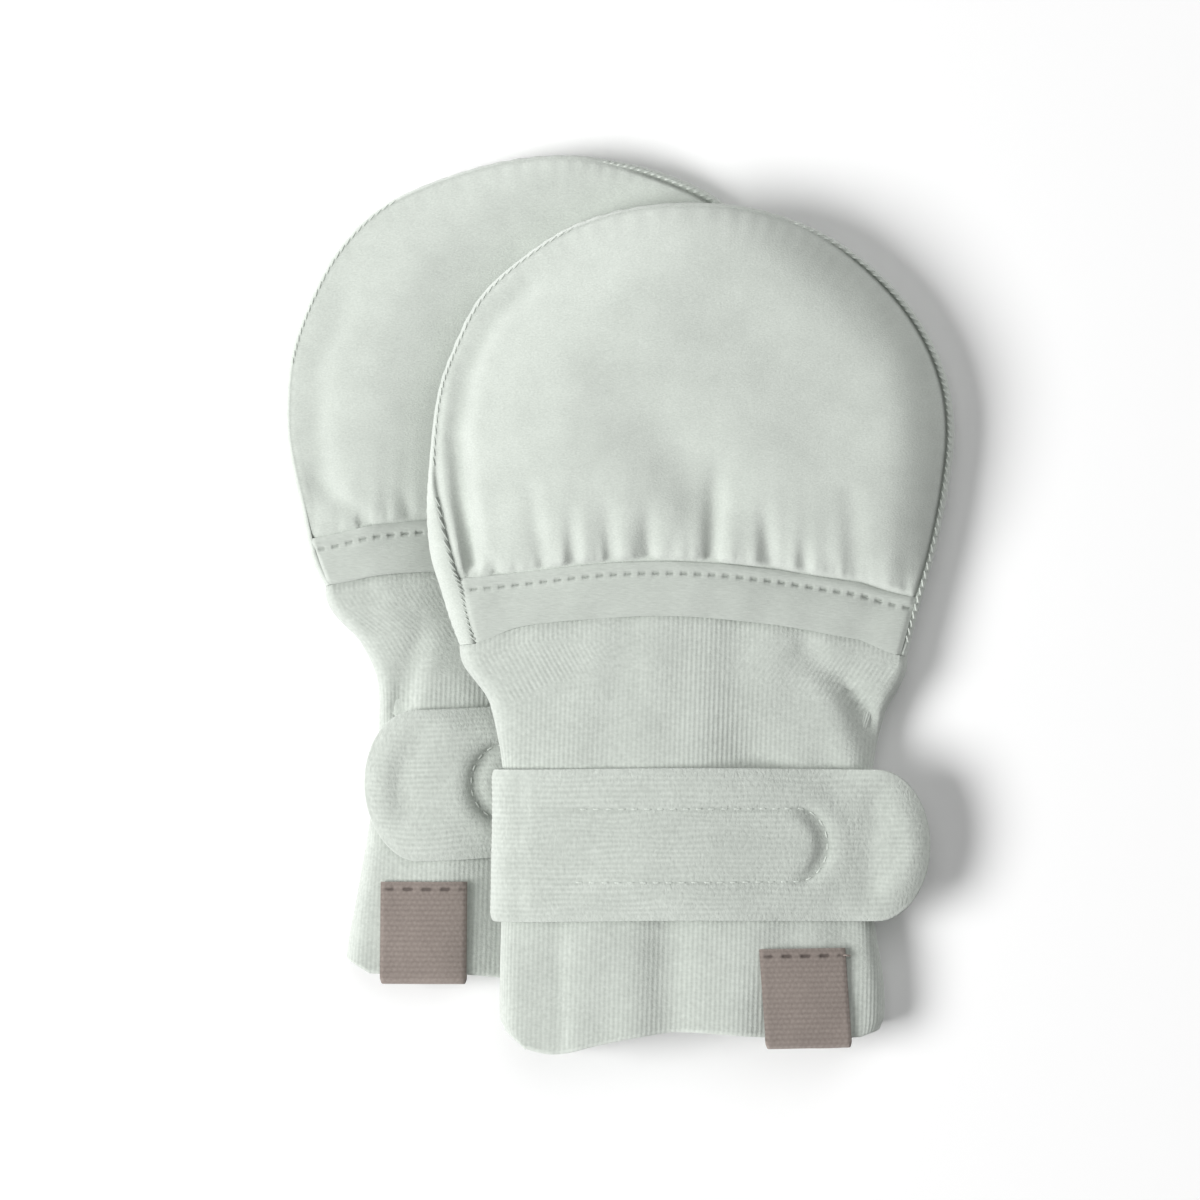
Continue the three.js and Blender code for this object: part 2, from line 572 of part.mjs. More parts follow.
// Strap: sewn under one side of the cuff, round that side and over the top to a round end.
function strap(mitten) {
  const steps = GRID[mitten.name].strap;
  const wrapped = mitten.tip > 0 ? "left" : "right";
  const bottomShare = (k) => (mitten.tip > 0 ? k : 1 - k);
  const middle = (x) => along(mitten.strapMiddle, x);
  const stack = LAID_GAP + PATCH + SEAM_GAP;
  const roundStart = mitten.strapEnd - mitten.tip * STRAP_ROUND;
  const middleY = middle(roundStart);
  const topStart = overCuff(mitten, "top", mitten.tip > 0 ? 0.04 : 0.96, middleY, 0)[0];
  const [footLeft, footRight] = [0, 1].map((place) => overCuff(mitten, "bottom", place, middleY, 0)[0]);
  const width = footRight - footLeft;
  const columns = [];
  for (const k of [1, 0.5, 0]) {
    const place = bottomShare((k * (STRAP_TUCK - SIDE_RADIUS)) / width);
    columns.push({ side: "bottom", place, half: STRAP_HALF, raise: LAID_GAP });
  }
  for (const angle of arcAngles) {
    columns.push({ side: wrapped, place: angle, half: STRAP_HALF, raise: LAID_GAP + 0.2 });
  }
  for (let i = 0; i <= steps; i++) {
    const x = lerp(topStart, roundStart, i / steps);
    const toPatch = (x - patchStart(mitten)) * mitten.tip;
    columns.push({ x, half: STRAP_HALF, raise: lerp(LAID_GAP + 0.2, stack, ease(-PATCH_RAMP, -1, toPatch)) });
  }
  for (const turn of [20, 40, 56, 70, 79]) {
    const angle = THREE.MathUtils.degToRad(turn);
    const x = roundStart + mitten.tip * STRAP_ROUND * Math.sin(angle);
    columns.push({ x, half: STRAP_HALF * Math.cos(angle), raise: stack });
  }
  const layer = (extra) => columns.map(({ side, place, x, half, raise }) =>
    [-1, -0.82, 0, 0.82, 1].map((v) => {
      const edgeDrop = side ? 0 : (raise - LAID_GAP) * ease(0.8, 1, Math.abs(v)) * (half / STRAP_HALF);
      const distance = raise - edgeDrop + extra;
      const px = side ? overCuff(mitten, side, place, middleY, 0)[0] : x;
      const y = middle(px) + v * half;
      return side ? overCuff(mitten, side, place, y, distance) : overTop(mitten, x, y, distance);
    }));
  return closedBody(layer(STRAP), layer(0));
}

const patchStart = (mitten) => mitten.patchRound - mitten.tip * (mitten.patchLength - PATCH_ROUND);

// Hook patch sewn under the strap, its round end towards the strap's own.
function patch(mitten) {
  const columns = [];
  const steps = 9;
  for (let i = 0; i <= steps; i++) {
    columns.push({ x: lerp(patchStart(mitten), mitten.patchRound, i / steps), half: PATCH_HALF });
  }
  for (const turn of [30, 52, 70, 80]) {
    const angle = THREE.MathUtils.degToRad(turn);
    const x = mitten.patchRound + mitten.tip * PATCH_ROUND * Math.sin(angle);
    columns.push({ x, half: PATCH_HALF * Math.cos(angle) });
  }
  const layer = (distance) => columns.map(({ x, half }) =>
    [-1, 0, 1].map((v) => overTop(mitten, x, along(mitten.strapMiddle, x) + v * half, distance)));
  return closedBody(layer(LAID_GAP + PATCH), layer(LAID_GAP));
}

// Label: folded over the hem, the front leg on the cuff and the back leg inside it.
function label(mitten) {
  const { x: cornerX, y: cornerY, turn } = mitten.label;
  const slope = Math.tan(THREE.MathUtils.degToRad(turn));
  const middleX = cornerX + LABEL_WIDTH / 2;
  const hemY = (x) => along(mitten.hem, x) - HEM_BULGE;
  const across = [0, 0.25, 0.5, 0.75, 1];
  const legs = [0, 0.25, 0.5, 0.75];
  const layer = (near) => across.map((a) => {
    const out = near ? SEAM_GAP : SEAM_GAP + LABEL;
    const leftX = cornerX + a * LABEL_WIDTH;
    const xAt = (y) => leftX - (y - cornerY) * slope;
    const edge = Math.min(hemY(leftX), hemY(middleX));
    const top = (y, distance) => overTop(mitten, xAt(y), y, distance);
    const inside = -RIB - out;
    return [
      ...legs.map((v) => top(lerp(cornerY, edge, v), out)),
      top(edge + 0.5, out),
      top(edge - out * 0.75, out * 0.6),
      top(edge - out, -RIB / 2),
      top(edge - out * 0.75, -RIB - out * 0.6),
      top(edge + 0.5, inside),
      top(edge + LABEL_INSIDE / 2, inside),
      top(edge + LABEL_INSIDE, inside),
    ];
  });
  return closedBody(layer(false), layer(true));
}

const PIECES = { back: backPanel, palm: palmPanel, band, cuff, patch, strap, label };

function material(piece) {
  const colour = piece === "label" ? COLOURS.label : piece === "cuff" ? COLOURS.rib : COLOURS.jersey;
  return new THREE.MeshStandardMaterial({ color: colour, roughness: 0.9, metalness: 0 });
}

const pair = new THREE.Group();
for (const mitten of [REAR, FRONT]) {
  for (const [piece, build] of Object.entries(PIECES)) {
    const mesh = new THREE.Mesh(build(mitten), material(piece));
    mesh.name = `${mitten.name}_${piece}`;
    pair.add(mesh);
  }
}

// The origin goes to the middle of the underside.
pair.updateMatrixWorld(true);
const box = new THREE.Box3().setFromObject(pair);
pair.position.set(-(box.min.x + box.max.x) / 2, -(box.min.y + box.max.y) / 2, -box.min.z);

export default pair;
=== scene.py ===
# Looks of a pair of baby mittens: fine cloth, ribs, stitches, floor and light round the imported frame.
# Lengths are in millimetres until a mesh is made, and places are in the mittens' own plan.
import math
import bpy
import numpy as np
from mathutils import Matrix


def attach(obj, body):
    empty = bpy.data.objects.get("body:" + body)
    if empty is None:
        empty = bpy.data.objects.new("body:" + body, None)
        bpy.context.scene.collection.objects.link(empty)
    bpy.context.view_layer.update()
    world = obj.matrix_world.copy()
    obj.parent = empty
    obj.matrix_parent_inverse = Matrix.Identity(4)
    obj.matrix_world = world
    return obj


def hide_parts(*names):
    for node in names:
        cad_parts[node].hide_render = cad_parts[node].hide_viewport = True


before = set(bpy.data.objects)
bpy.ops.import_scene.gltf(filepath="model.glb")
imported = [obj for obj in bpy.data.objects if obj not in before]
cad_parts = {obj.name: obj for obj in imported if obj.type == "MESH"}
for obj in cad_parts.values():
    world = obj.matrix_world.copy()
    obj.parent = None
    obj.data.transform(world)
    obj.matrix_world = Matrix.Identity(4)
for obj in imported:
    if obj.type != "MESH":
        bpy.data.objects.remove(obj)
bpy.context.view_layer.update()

MM = 0.001
TAU = 2 * math.pi
SHIFT = np.array([-3.333, 0.634, 0.0])  # from the plan to the frame's origin

# Cloth thicknesses and gaps
JERSEY = 1.2
RIB = 1.5
STRAP = 1.5
PATCH = 0.7
LABEL = 1.0
BAND = 1.6
LAID_GAP = 0.4
WRIST_GAP = 0.05

# Heights of a mitten that lies free, and of one pressed under the other
FREE = {"seam": 8.6, "crown": 2.2, "dome": 8.5}
PRESSED = {"seam": 4.3, "crown": 0.2, "dome": 3.2}
SIDE_RADIUS = 6
SWELL_ENDS = (2, 62)  # where the front mitten's top starts and stops coming down
CUFF_SHOULDER = 4
REST_ON_REAR = 8.4
REST_REACH = (1, 14)  # past the rear mitten's outline
HEM_DROP = 2.5
HEM_CORNER = -69.6  # below it only the front cuff's outline rounds in
GATHER_REACH = 6
CROWN_REACH = 12
EDGE_REACH = (25, 15)  # over which the palm rises from its seam, on the left and on the right
EDGE_TURN = (-32, 12)  # where the left reach turns into the right one, from the middle of the band
PRESS_FADE = (-4, 12)  # over which the rear mitten gets free of the front one's outline
DOME_FADE = (-4, 24)
REAR_DOME = 7.4
GATHER_DEEPEST = 1.1  # at the band, where the palm is held under it

# Strap, hook patch and label
STRAP_HALF = 12.5
STRAP_ROUND = 9
STRAP_TUCK = 12
PATCH_HALF = 6
PATCH_ROUND = 5
PATCH_RAMP = 10
LABEL_WIDTH = 14.3
LABEL_INSIDE = 7
LABEL_GAP = 0.3
OVERHANG_SAG = 0.008
STRAP_SAG = 0.7
SAG_REACH = 2.4
DROOP_REACH = 4.5  # over which the strap's edges come down to the cuff
STRAP_EDGE = 1.9  # over which its edges are rounded
STRAP_BEND = 0.68
PILLOW_HEIGHT = 0.5
PILLOW_WIDTH = 6.0
ROUND_END_REACH = 10.5  # from the middle of the round end to its edge, about
HEM_ROUND = 0.75  # how far the cuff rounds out where it is folded
CUFF_LENGTH = 62

# Fine cloth forms
SEAM_DIPS = (0.12, 0.6)  # depth of the seam's groove at the outline itself and inside it
SEAM_GROOVE = 0.42
PUCKER_PITCH = 3.3
RIPPLE_MIDDLE = 0.5
GATHERS = [(0.26, 3.9, 1.6, 5, 5.0), (0.12, 1.8, 2, 3, 1.6)]  # height, pitch, wander, its length, reach
CUFF_RIBS = {"bottom": 62, "right": 18, "top": 76, "left": 18}
CUFF_ARC = 14.0  # round one side of the cuff
RIB_LEAN = -0.03
RIB_PITCH = 0.79
RIB_DEPTH = 0.045
KNIT_PITCH = 0.84
KNIT_DEPTH = 0.05
STITCH_PITCH = 2.3
STITCH_HALF = 0.6
STITCH_LINE = 1.9  # from the band's upper edge to its stitches
LABEL_STITCH = 1.2  # from the label's upper edge to its stitches
LABEL_DASH = 3.1
LABEL_WEFT = 0.85
LABEL_WARP = 0.95
BAND_LAP = 0.15
HELD = (-0.85, -0.30)  # where the band holds the palm's edge, under the band's own upper edge
WRAP_RADIUS = 1.3  # over which the rear band wraps round the side
PATCH_STITCH = 2.1
HAND_LENGTH = 230  # round the seam of the hand, about

# Each row of hand holds a point of the outline and of the seam inside it, from the left wrist
# over the fingertips to the right wrist. Folds have a path, a half width and a start and end height.
# The strap sinks in along strap_sag.
FRONT = {
    "name": "front",
    "tip": 1,
    "hand": [
        [-23.1, -7.4, -20.4, -7.1],
        [-24.7, -3.2, -21.2, -3.2],
        [-26.2, 1.7, -22.3, 1.5],
        [-27.9, 7.4, -23.8, 5.6],
        [-28.5, 14.0, -25.9, 14.0],
        [-28.2, 21.4, -27.1, 21.4],
        [-26.9, 33.0, -26.2, 32.7],
        [-24.4, 40.9, -23.7, 40.6],
        [-19.8, 49.8, -19.2, 49.3],
        [-12.4, 56.6, -12.0, 56.0],
        [-3.5, 62.0, -3.2, 61.3],
        [8.2, 65.0, 8.2, 64.3],
        [20.6, 65.2, 20.6, 64.5],
        [30.5, 63.2, 30.3, 62.5],
        [39.6, 59.1, 39.0, 58.2],
        [47.9, 52.6, 46.9, 51.6],
        [53.8, 45.0, 52.5, 44.4],
        [57.4, 37.0, 56.0, 36.5],
        [58.7, 28.5, 57.2, 28.5],
        [57.9, 19.8, 56.5, 19.6],
        [55.8, 9.1, 54.5, 9.1],
        [53.0, -1.0, 51.7, -0.9],
        [50.9, -9.3, 49.5, -9.1],
    ],
    "band_top": [[-23.3, 3.5], [-13.2, 4.5], [-0.3, 5.9], [11.6, 6.3], [24.9, 5.4], [42.9, 2.8],
                 [51.8, 0.5]],
    "band_low": [[-20.6, -7.0], [-13.5, -4.5], [-6.6, -3.5], [10.7, -2.6], [28.1, -4.0], [42.9, -6.6],
                 [49.2, -9.1]],
    "hem": [[-15.9, -71.2], [-13.2, -73.5], [-7.3, -74.7], [0.0, -73.1], [6.6, -71.8], [13.2, -71.1],
            [33.0, -72.3], [43.5, -72.1], [47.0, -71.2]],
    "cuff_left": [[-7.4, -23.1], [-12.5, -19.6], [-18.5, -17.7], [-27.7, -16.0], [-42.9, -16.0],
                  [-66.0, -16.5], [-69.6, -16.3], [-71.2, -15.2]],
    "cuff_right": [[-9.3, 50.9], [-13.2, 49.0], [-21.6, 46.4], [-28.1, 45.2], [-41.2, 45.5], [-52.8, 45.4],
                   [-62.9, 46.9], [-69.6, 47.0], [-71.2, 46.0]],
    "strap_middle": [[-16, -40.3], [15, -40.0], [45, -40.4]],
    "strap_end": 54.5,
    "patch_round": 32.4,
    "patch_length": 45,
    "label": (26.1, -57.3, 4),
    "strap_sag": [[46.0, -31.0], [45.0, -40.0], [44.5, -49.0]],
    "folds": [
        ([[-20.8, 6.3], [-22.3, 16.5], [-23.1, 26.9], [-21.6, 37.3], [-17.6, 45.5], [-11.5, 51.5]],
         1.8, -2.6, -0.5),
        ([[-22.9, 6.0], [-25.0, 16.5], [-26.2, 26.9], [-25.0, 37.3]], 1.2, 0.9, 0.3),
        ([[-16.8, 4.1], [-18.6, 7.6]], 1.2, -1.3, -0.4),
        ([[-13.9, 4.5], [-14.2, 6.4]], 0.9, -0.9, -0.2),
        ([[-9.2, 4.8], [-11.2, 17.5]], 1.5, -2.1, -0.4),
        ([[-4.1, 5.4], [-5.1, 15.0]], 1.4, -1.8, -0.3),
        ([[1.7, 6.1], [0.8, 16.5]], 1.4, -1.9, -0.3),
        ([[8.0, 6.3], [7.7, 15.5]], 1.5, -2.8, -0.4),
        ([[11.6, 6.3], [12.0, 10.5]], 1.1, -1.2, -0.2),
        ([[18.2, 6.1], [19.3, 21.0]], 1.8, -2.6, -0.6),
        ([[28.4, 5.0], [26.7, 14.5]], 1.6, -2.0, -0.4),
        ([[33.8, 4.1], [33.3, 9.1]], 1.2, -1.3, -0.3),
        ([[38.6, 3.5], [38.4, 6.6]], 1.0, -1.1, -0.2),
        ([[42.9, 2.8], [41.2, 16.7]], 2.2, -1.4, -0.5),
        ([[1, 38], [9, 28], [17, 18]], 6.5, -1.0, -3.2),
        ([[33.5, -8.0], [36.9, -11.5], [40.5, -14.0], [43.5, -18.3], [46.4, -24.2]], 1.6, -0.7, -3.4),
        ([[36.0, -15], [39.4, -21], [41.4, -27]], 2.6, 0.2, 1.5),
        ([[22.5, -7], [24.5, -27]], 5, -0.5, -1.6),
        ([[-5, -10], [-5, -26]], 6, 0.4, 0.7),
        ([[-7, -54], [-6.5, -73]], 1.6, -0.6, -0.9),
        ([[11.0, -52], [12.5, -71]], 4.6, -1.6, -2.2),
        ([[22, -54], [22, -71]], 4.2, 0.5, 0.9),
    ],
}
REAR = {
    "name": "rear",
    "tip": -1,
    "hand": [
        [-45.5, 2.4, -44.3, 2.6],
        [-47.7, 6.9, -46.7, 7.1],
        [-49.5, 15.3, -48.7, 15.5],
        [-51.6, 25.2, -50.8, 25.2],
        [-52.0, 32.2, -51.2, 32.2],
        [-51.2, 40.4, -50.4, 40.2],
        [-48.3, 49.0, -47.6, 48.6],
        [-43.6, 57.8, -43.0, 57.1],
        [-36.8, 64.7, -36.4, 64.0],
        [-28.1, 69.1, -27.8, 68.4],
        [-16.5, 72.6, -16.4, 71.9],
        [-6.1, 73.7, -6.1, 73.0],
        [1.7, 72.9, 1.5, 72.0],
        [9.9, 71.0, 9.4, 69.8],
        [18.2, 67.5, 17.5, 66.2],
        [23.9, 62.7, 23.0, 61.6],
        [28.7, 56.8, 27.7, 55.9],
        [32.2, 47.5, 31.2, 47.0],
        [34.0, 38.0, 33.0, 37.8],
        [34.3, 28.1, 33.2, 28.1],
        [33.7, 18.2, 31.7, 18.2],
        [32.0, 8.2, 28.5, 9.1],
        [26.5, -1.2, 23.4, -0.9],
    ],
    "band_top": [[-47.5, 10.2], [-38.1, 12.2], [-29.0, 13.2], [-16.5, 14.4], [-3.3, 14.9], [13.2, 13.2],
                 [28.4, 9.4]],
    "band_low": [[-44.4, 2.6], [-36.3, 4.1], [-26.9, 4.8], [-16.5, 5.4], [-3.3, 5.6], [9.9, 4.1],
                 [23.4, -0.9]],
    "hem": [[-42.1, -59.7], [-39.3, -61.7], [-22.3, -62.0], [-16.5, -62.7], [0.0, -63.7], [16.0, -63.4],
            [24.3, -60.7]],
    "cuff_left": [[2.4, -45.5], [-1.3, -43.2], [-8.6, -38.8], [-13.2, -36.9], [-19.0, -36.6],
                  [-26.0, -36.9], [-35.5, -38.0], [-49.3, -40.3], [-60.0, -42.1]],
    "cuff_right": [[-1.2, 26.5], [-5.0, 25.4], [-9.9, 24.8], [-26.4, 24.8], [-56.1, 24.8], [-61.0, 24.3]],
    "strap_middle": [[25, -28.4], [-10, -29.6], [-30, -30.6], [-38, -30.2]],
    "strap_end": -38.9,
    "patch_round": -16.3,
    "patch_length": 38,
    "label": (-36.2, -46.5, -0.5),
    "folds": [
        ([[-38.0, 12.4], [-42.5, 16.2], [-46.4, 20.0]], 1.7, -1.7, -0.5),
        ([[-30.5, 13.2], [-32.8, 17.5]], 1.4, -1.2, -0.3),
        ([[-45.2, 18.0], [-46.8, 27.0], [-46.4, 38.0], [-42.0, 49.0]], 2.4, -1.5, -0.5),
        ([[-28.9, -4], [-31.7, -12.2], [-32.8, -18.6]], 1.7, -1.3, -3.6),
        ([[-38.2, 2], [-37.4, -10]], 2.0, -0.6, -0.3),
        ([[-39, -45], [-40, -60]], 2.2, 0.3, 0.6),
    ],
    "strap_sag": [[-29.6, -21.2], [-32.4, -28.1], [-32.9, -35.1]],
}


def ease(low, high, value):
    t = np.clip((value - low) / (high - low), 0, 1)
    return t * t * (3 - 2 * t)


def lerp(a, b, t):
    return a + (b - a) * t


def bell(distance, reach):
    """1 at a line, falling off smoothly over reach."""
    return np.exp(-((distance / reach) ** 2))


def spline(rows, place, column):
    """Catmull-Rom value of a column at a place counted in rows."""
    last = len(rows) - 1
    i = np.clip(np.floor(place).astype(int), 0, last - 1)
    t = place - i
    a, b, c, d = (rows[np.clip(i + k, 0, last), column] for k in (-1, 0, 1, 2))
    return b + 0.5 * t * (c - a + t * (2 * a - 5 * b + 4 * c - d + t * (3 * (b - c) + d - a)))


def along(table, key):
    """Value of a smooth curve through rows of key and value; constant past its ends."""
    rows = np.array(sorted(table), float)
    keys = rows[:, 0]
    key = np.clip(np.asarray(key, float), keys[0], keys[-1])
    i = np.clip(np.searchsorted(keys, key, side="right") - 1, 0, len(keys) - 2)
    return spline(rows, i + (key - keys[i]) / (keys[i + 1] - keys[i]), 1)


def hand_point(mitten, u, column):
    """Point of the outline (column 0) or seam (column 2), u from 0 at the left wrist to 1."""
    rows = np.array(mitten["hand"])
    place = np.clip(np.asarray(u, float), 0, 1) * (len(rows) - 1)
    return spline(rows, place, column), spline(rows, place, column + 1)


def inward(mitten, u):
    """Unit direction from the outline into the hand, level at both wrists."""
    step = 0.004
    ax, ay = hand_point(mitten, u - step, 0)
    bx, by = hand_point(mitten, u + step, 0)
    level = np.maximum(ease(0.1, 0, u), ease(0.9, 1, u))
    x = lerp(by - ay, np.sign(0.5 - u) * np.hypot(bx - ax, by - ay), level)
    y = lerp(ax - bx, 0, level)
    size = np.hypot(x, y)
    return x / size, y / size


def outline(mitten):
    """The whole outline of a mitten from above, as a closed polygon."""
    hand = list(zip(*hand_point(mitten, np.linspace(0, 1, 61), 0)))
    right = [(x, y) for y, x in mitten["cuff_right"] if y < hand[-1][1]]
    left = [(x, y) for y, x in mitten["cuff_left"] if y < hand[0][1]]
    return np.array(hand + right + mitten["hem"][::-1][1:-1] + left[::-1])


def nearest(path, x, y, closed=False):
    """Distance to the nearest point of a path, and how far along it lies, from 0 to 1."""
    path = np.asarray(path, float)
    ends = np.roll(path, -1, axis=0) if closed else path[1:]
    best = np.full(np.shape(x), np.inf)
    share = np.zeros(np.shape(x))
    for i, (end, start) in enumerate(zip(ends, path)):
        dx, dy = end - start
        t = np.clip(((x - start[0]) * dx + (y - start[1]) * dy) / (dx * dx + dy * dy), 0, 1)
        distance = np.hypot(x - start[0] - t * dx, y - start[1] - t * dy)
        closer = distance < best
        best = np.where(closer, distance, best)
        share = np.where(closer, (i + t) / len(ends), share)
    return best, share


def outside(polygon, x, y):
    """Distance outside a closed outline, negative inside it."""
    inside = np.zeros(np.shape(x), bool)
    for (ax, ay), (bx, by) in zip(polygon, np.roll(polygon, -1, axis=0)):
        if ay != by:
            inside ^= ((ay > y) != (by > y)) & (x < ax + (y - ay) * (bx - ax) / (by - ay))
    distance = nearest(polygon, x, y, True)[0]
    return np.where(inside, -distance, distance)


OUTLINES = {m["name"]: outline(m) for m in (FRONT, REAR)}
SEAMS = {m["name"]: np.transpose(hand_point(m, np.linspace(0, 1, 81), 2)) for m in (FRONT, REAR)}


def freedom(mitten, x, y):
    """1 in the open, 0 where the front mitten presses on the rear one."""
    if mitten is FRONT:
        return np.ones(np.shape(x))
    return ease(*PRESS_FADE, outside(OUTLINES["front"], x, y))


def relief(mitten, x, y, pressed=0.2):
    """Share of the fine forms' height that is left, less where the mitten is pressed."""
    return lerp(pressed, 1, freedom(mitten, x, y))


def height(mitten, x, y, what):
    return lerp(PRESSED[what], FREE[what], freedom(mitten, x, y))


def swell(mitten, x):
    """How far the front mitten's top is carried up, 0 where it lies on the floor."""
    return REST_ON_REAR * (1 - ease(*SWELL_ENDS, x)) if mitten is FRONT else 0 * x


def seam_top(mitten, x, y):
    """Height of the seam, which the band and the cuff start from too."""
    return swell(mitten, x) + height(mitten, x, y, "seam")


def crown(share):
    """Arch from side to side, 1 in the middle and 0 at both sides."""
    return 1 - np.abs(2 * np.clip(share, 0, 1) - 1) ** 2.4


def crown_height(mitten, x, y, share):
    return height(mitten, x, y, "crown") * crown(share)


def lift(mitten, x, y):
    """Height of what a mitten's underside lies on."""
    if mitten is REAR:
        return 0 * x
    rest = REST_ON_REAR * (1 - ease(*REST_REACH, outside(OUTLINES["rear"], x, y)))
    return np.maximum(np.maximum(rest, swell(mitten, x) - HEM_DROP), 0)


def folds(mitten, x, y):
    """Sum of a mitten's folds at a spot."""
    total = np.zeros(np.shape(x))
    for path, width, start, end in mitten["folds"]:
        distance, share = nearest(path, x, y)
        total += lerp(start, end, share) * bell(distance, width)
    return total * relief(mitten, x, y)


def waves(x, y, size, seed):
    """Soft uneven waves between about -1 and 1, size millimetres across."""
    rng = np.random.default_rng(seed)
    total = 0 * x
    for _ in range(6):
        turn, phase, stretch = rng.uniform(0, TAU), rng.uniform(0, TAU), rng.uniform(0.7, 1.4)
        reach = TAU / (size * stretch)
        total = total + np.sin(reach * (x * math.cos(turn) + y * math.sin(turn)) + phase)
    return total / 3


def side_arc(start, side, end, low, high, angle):
    """Side of a mitten, from -90 degrees on the underside over 0 at the outline to 90 at the top."""
    below = np.minimum(angle, 0)
    above = np.maximum(angle, 0)
    x = np.where(angle < 0, lerp(start[0], side[0], np.cos(below)), lerp(side[0], end[0], 1 - np.cos(above)))
    y = np.where(angle < 0, lerp(start[1], side[1], np.cos(below)), lerp(side[1], end[1], 1 - np.cos(above)))
    return x, y, lerp(low, high, (1 + np.sin(angle)) / 2)


def closed_mesh(mitten, piece, outer, inner, edge=None, ring=False, tint=None):
    """One closed body from two grids of points, joined round their borders. The painted shade given is kept
    per point: it darkens the colour where shade falls.
    """
    parts = [outer] + ([edge] if edge is not None else []) + [inner[:, ::-1]]
    loops = np.concatenate(parts, axis=1)
    columns, rows = loops.shape[:2]
    i = np.arange(columns if ring else columns - 1)[:, None]
    j = np.arange(rows)[None, :]
    after = (i + 1) % columns
    down = (j + 1) % rows
    quads = np.stack([i * rows + j, after * rows + j, after * rows + down, i * rows + down], -1)
    faces = [quads.reshape(-1, 4)]
    if not ring:
        k = np.arange(outer.shape[1] - 1)
        for column, turned in ((0, False), (columns - 1, True)):
            base = column * rows
            cap = np.stack([base + k, base + k + 1, base + rows - 2 - k, base + rows - 1 - k], -1)
            faces.append(cap[:, ::-1] if turned else cap)
    faces = np.concatenate(faces)
    points = loops.reshape(-1, 3)
    a, b, c, d = (points[faces[:, n]] for n in range(4))
    volume = np.einsum("ij,ij->i", a, np.cross(b, c) + np.cross(c, d)).sum()
    obj = add_mesh(f"{mitten['name']}_{piece}_cloth", points, faces[:, ::-1] if volume < 0 else faces)
    kept = np.zeros((columns, rows), np.float32)
    if tint is not None:
        kept[:, : outer.shape[1]] = tint
    obj.data.attributes.new("tint", "FLOAT", "POINT").data.foreach_set("value", kept.ravel())
    return obj


def add_mesh(name, points, faces):
    """Mesh object from points in millimetres of the plan."""
    mesh = bpy.data.meshes.new(name)
    points = points + SHIFT
    points[:, 2] = np.maximum(points[:, 2], 0)
    mesh.from_pydata((points * MM).tolist(), [], faces if isinstance(faces, list) else faces.tolist())
    mesh.validate()
    mesh.shade_smooth()
    mesh.set_sharp_from_angle(angle=math.radians(60))
    obj = bpy.data.objects.new(name, mesh)
    bpy.context.scene.collection.objects.link(obj)
    return obj


def normals(grid):
    """Unit normals of a grid of points."""
    across = np.gradient(grid, axis=0)
    down = np.gradient(grid, axis=1)
    normal = np.cross(across, down)
    size = np.linalg.norm(normal, axis=2, keepdims=True)
    return normal / np.maximum(size, 1e-9)


def seam_dip(rim):
    """Depth of the seam's groove: faint where the seam is at the outline itself."""
    return lerp(*SEAM_DIPS, ease(0.8, 1.35, rim))


def back_panel(mitten):
    """Back panel: flat underside, rounding up at its sides to the seam."""
    columns, flat_rows, arc_rows = 300, 12, 26
    wrist_step = 1.2
    u = np.linspace(0, 1, columns)[:, None]
    side = hand_point(mitten, u, 0)
    seam = hand_point(mitten, u, 2)
    dx, dy = inward(mitten, u)
    foot = (side[0] + dx * SIDE_RADIUS, side[1] + dy * SIDE_RADIUS)
    wrist = (lerp(foot[0][0] + wrist_step, foot[0][-1] - wrist_step, u), lerp(foot[1][0], foot[1][-1], u))
    low = lift(mitten, *side)
    v = np.linspace(0, 1, flat_rows)[None, :]
    fx, fy = lerp(wrist[0], foot[0], v), lerp(wrist[1], foot[1], v)
    fz = np.where(v < 1, lift(mitten, fx, fy), low)
    rim = -outside(OUTLINES[mitten["name"]], *seam)
    high = seam_top(mitten, *seam)
    angle = ((np.arange(arc_rows) + 1) / arc_rows - 0.5)[None, :] * math.pi
    ax, ay, az = side_arc(foot, side, seam, low, high, angle)
    length = u * HAND_LENGTH
    free = freedom(mitten, *side)
    ripple = 0.08 * np.sin(TAU * length / PUCKER_PITCH + 2 * np.sin(length / 8)) * free
    ripple = ripple * (0.6 + 0.4 * np.sin(length / 5.3))
    ripple = ripple * bell(angle - RIPPLE_MIDDLE, 0.7)
    from_seam = np.hypot(ax - seam[0], ay - seam[1])
    dip = seam_dip(rim) * bell(from_seam, SEAM_GROOVE) * ease(0.2, 1.0, angle)
    az = az - dip
    ax, ay = ax + dx * ripple, ay + dy * ripple
    outer = np.stack([np.hstack([fx, ax]), np.hstack([fy, ay]), np.hstack([fz, az])], -1)
    level = JERSEY * np.cos(angle)
    inner = np.stack([
        np.hstack([fx, ax + dx * level]),
        np.hstack([fy, ay + dy * level]),
        np.hstack([fz + JERSEY, az - JERSEY * np.sin(angle)]),
    ], -1)
    # Painted shade: the colour darkens in the seam's groove, where shade falls.
    tint = np.hstack([0 * fz, dip / SEAM_DIPS[1]])
    return closed_mesh(mitten, "back", outer, inner, tint=tint)


def seam_at(mitten, y, right):
    """How far round the hand the seam passes a height of the plan."""
    u = np.linspace(0, 0.5, 400)
    u = 1 - u if right else u
    return u[np.argmax(hand_point(mitten, u, 2)[1] >= y)]


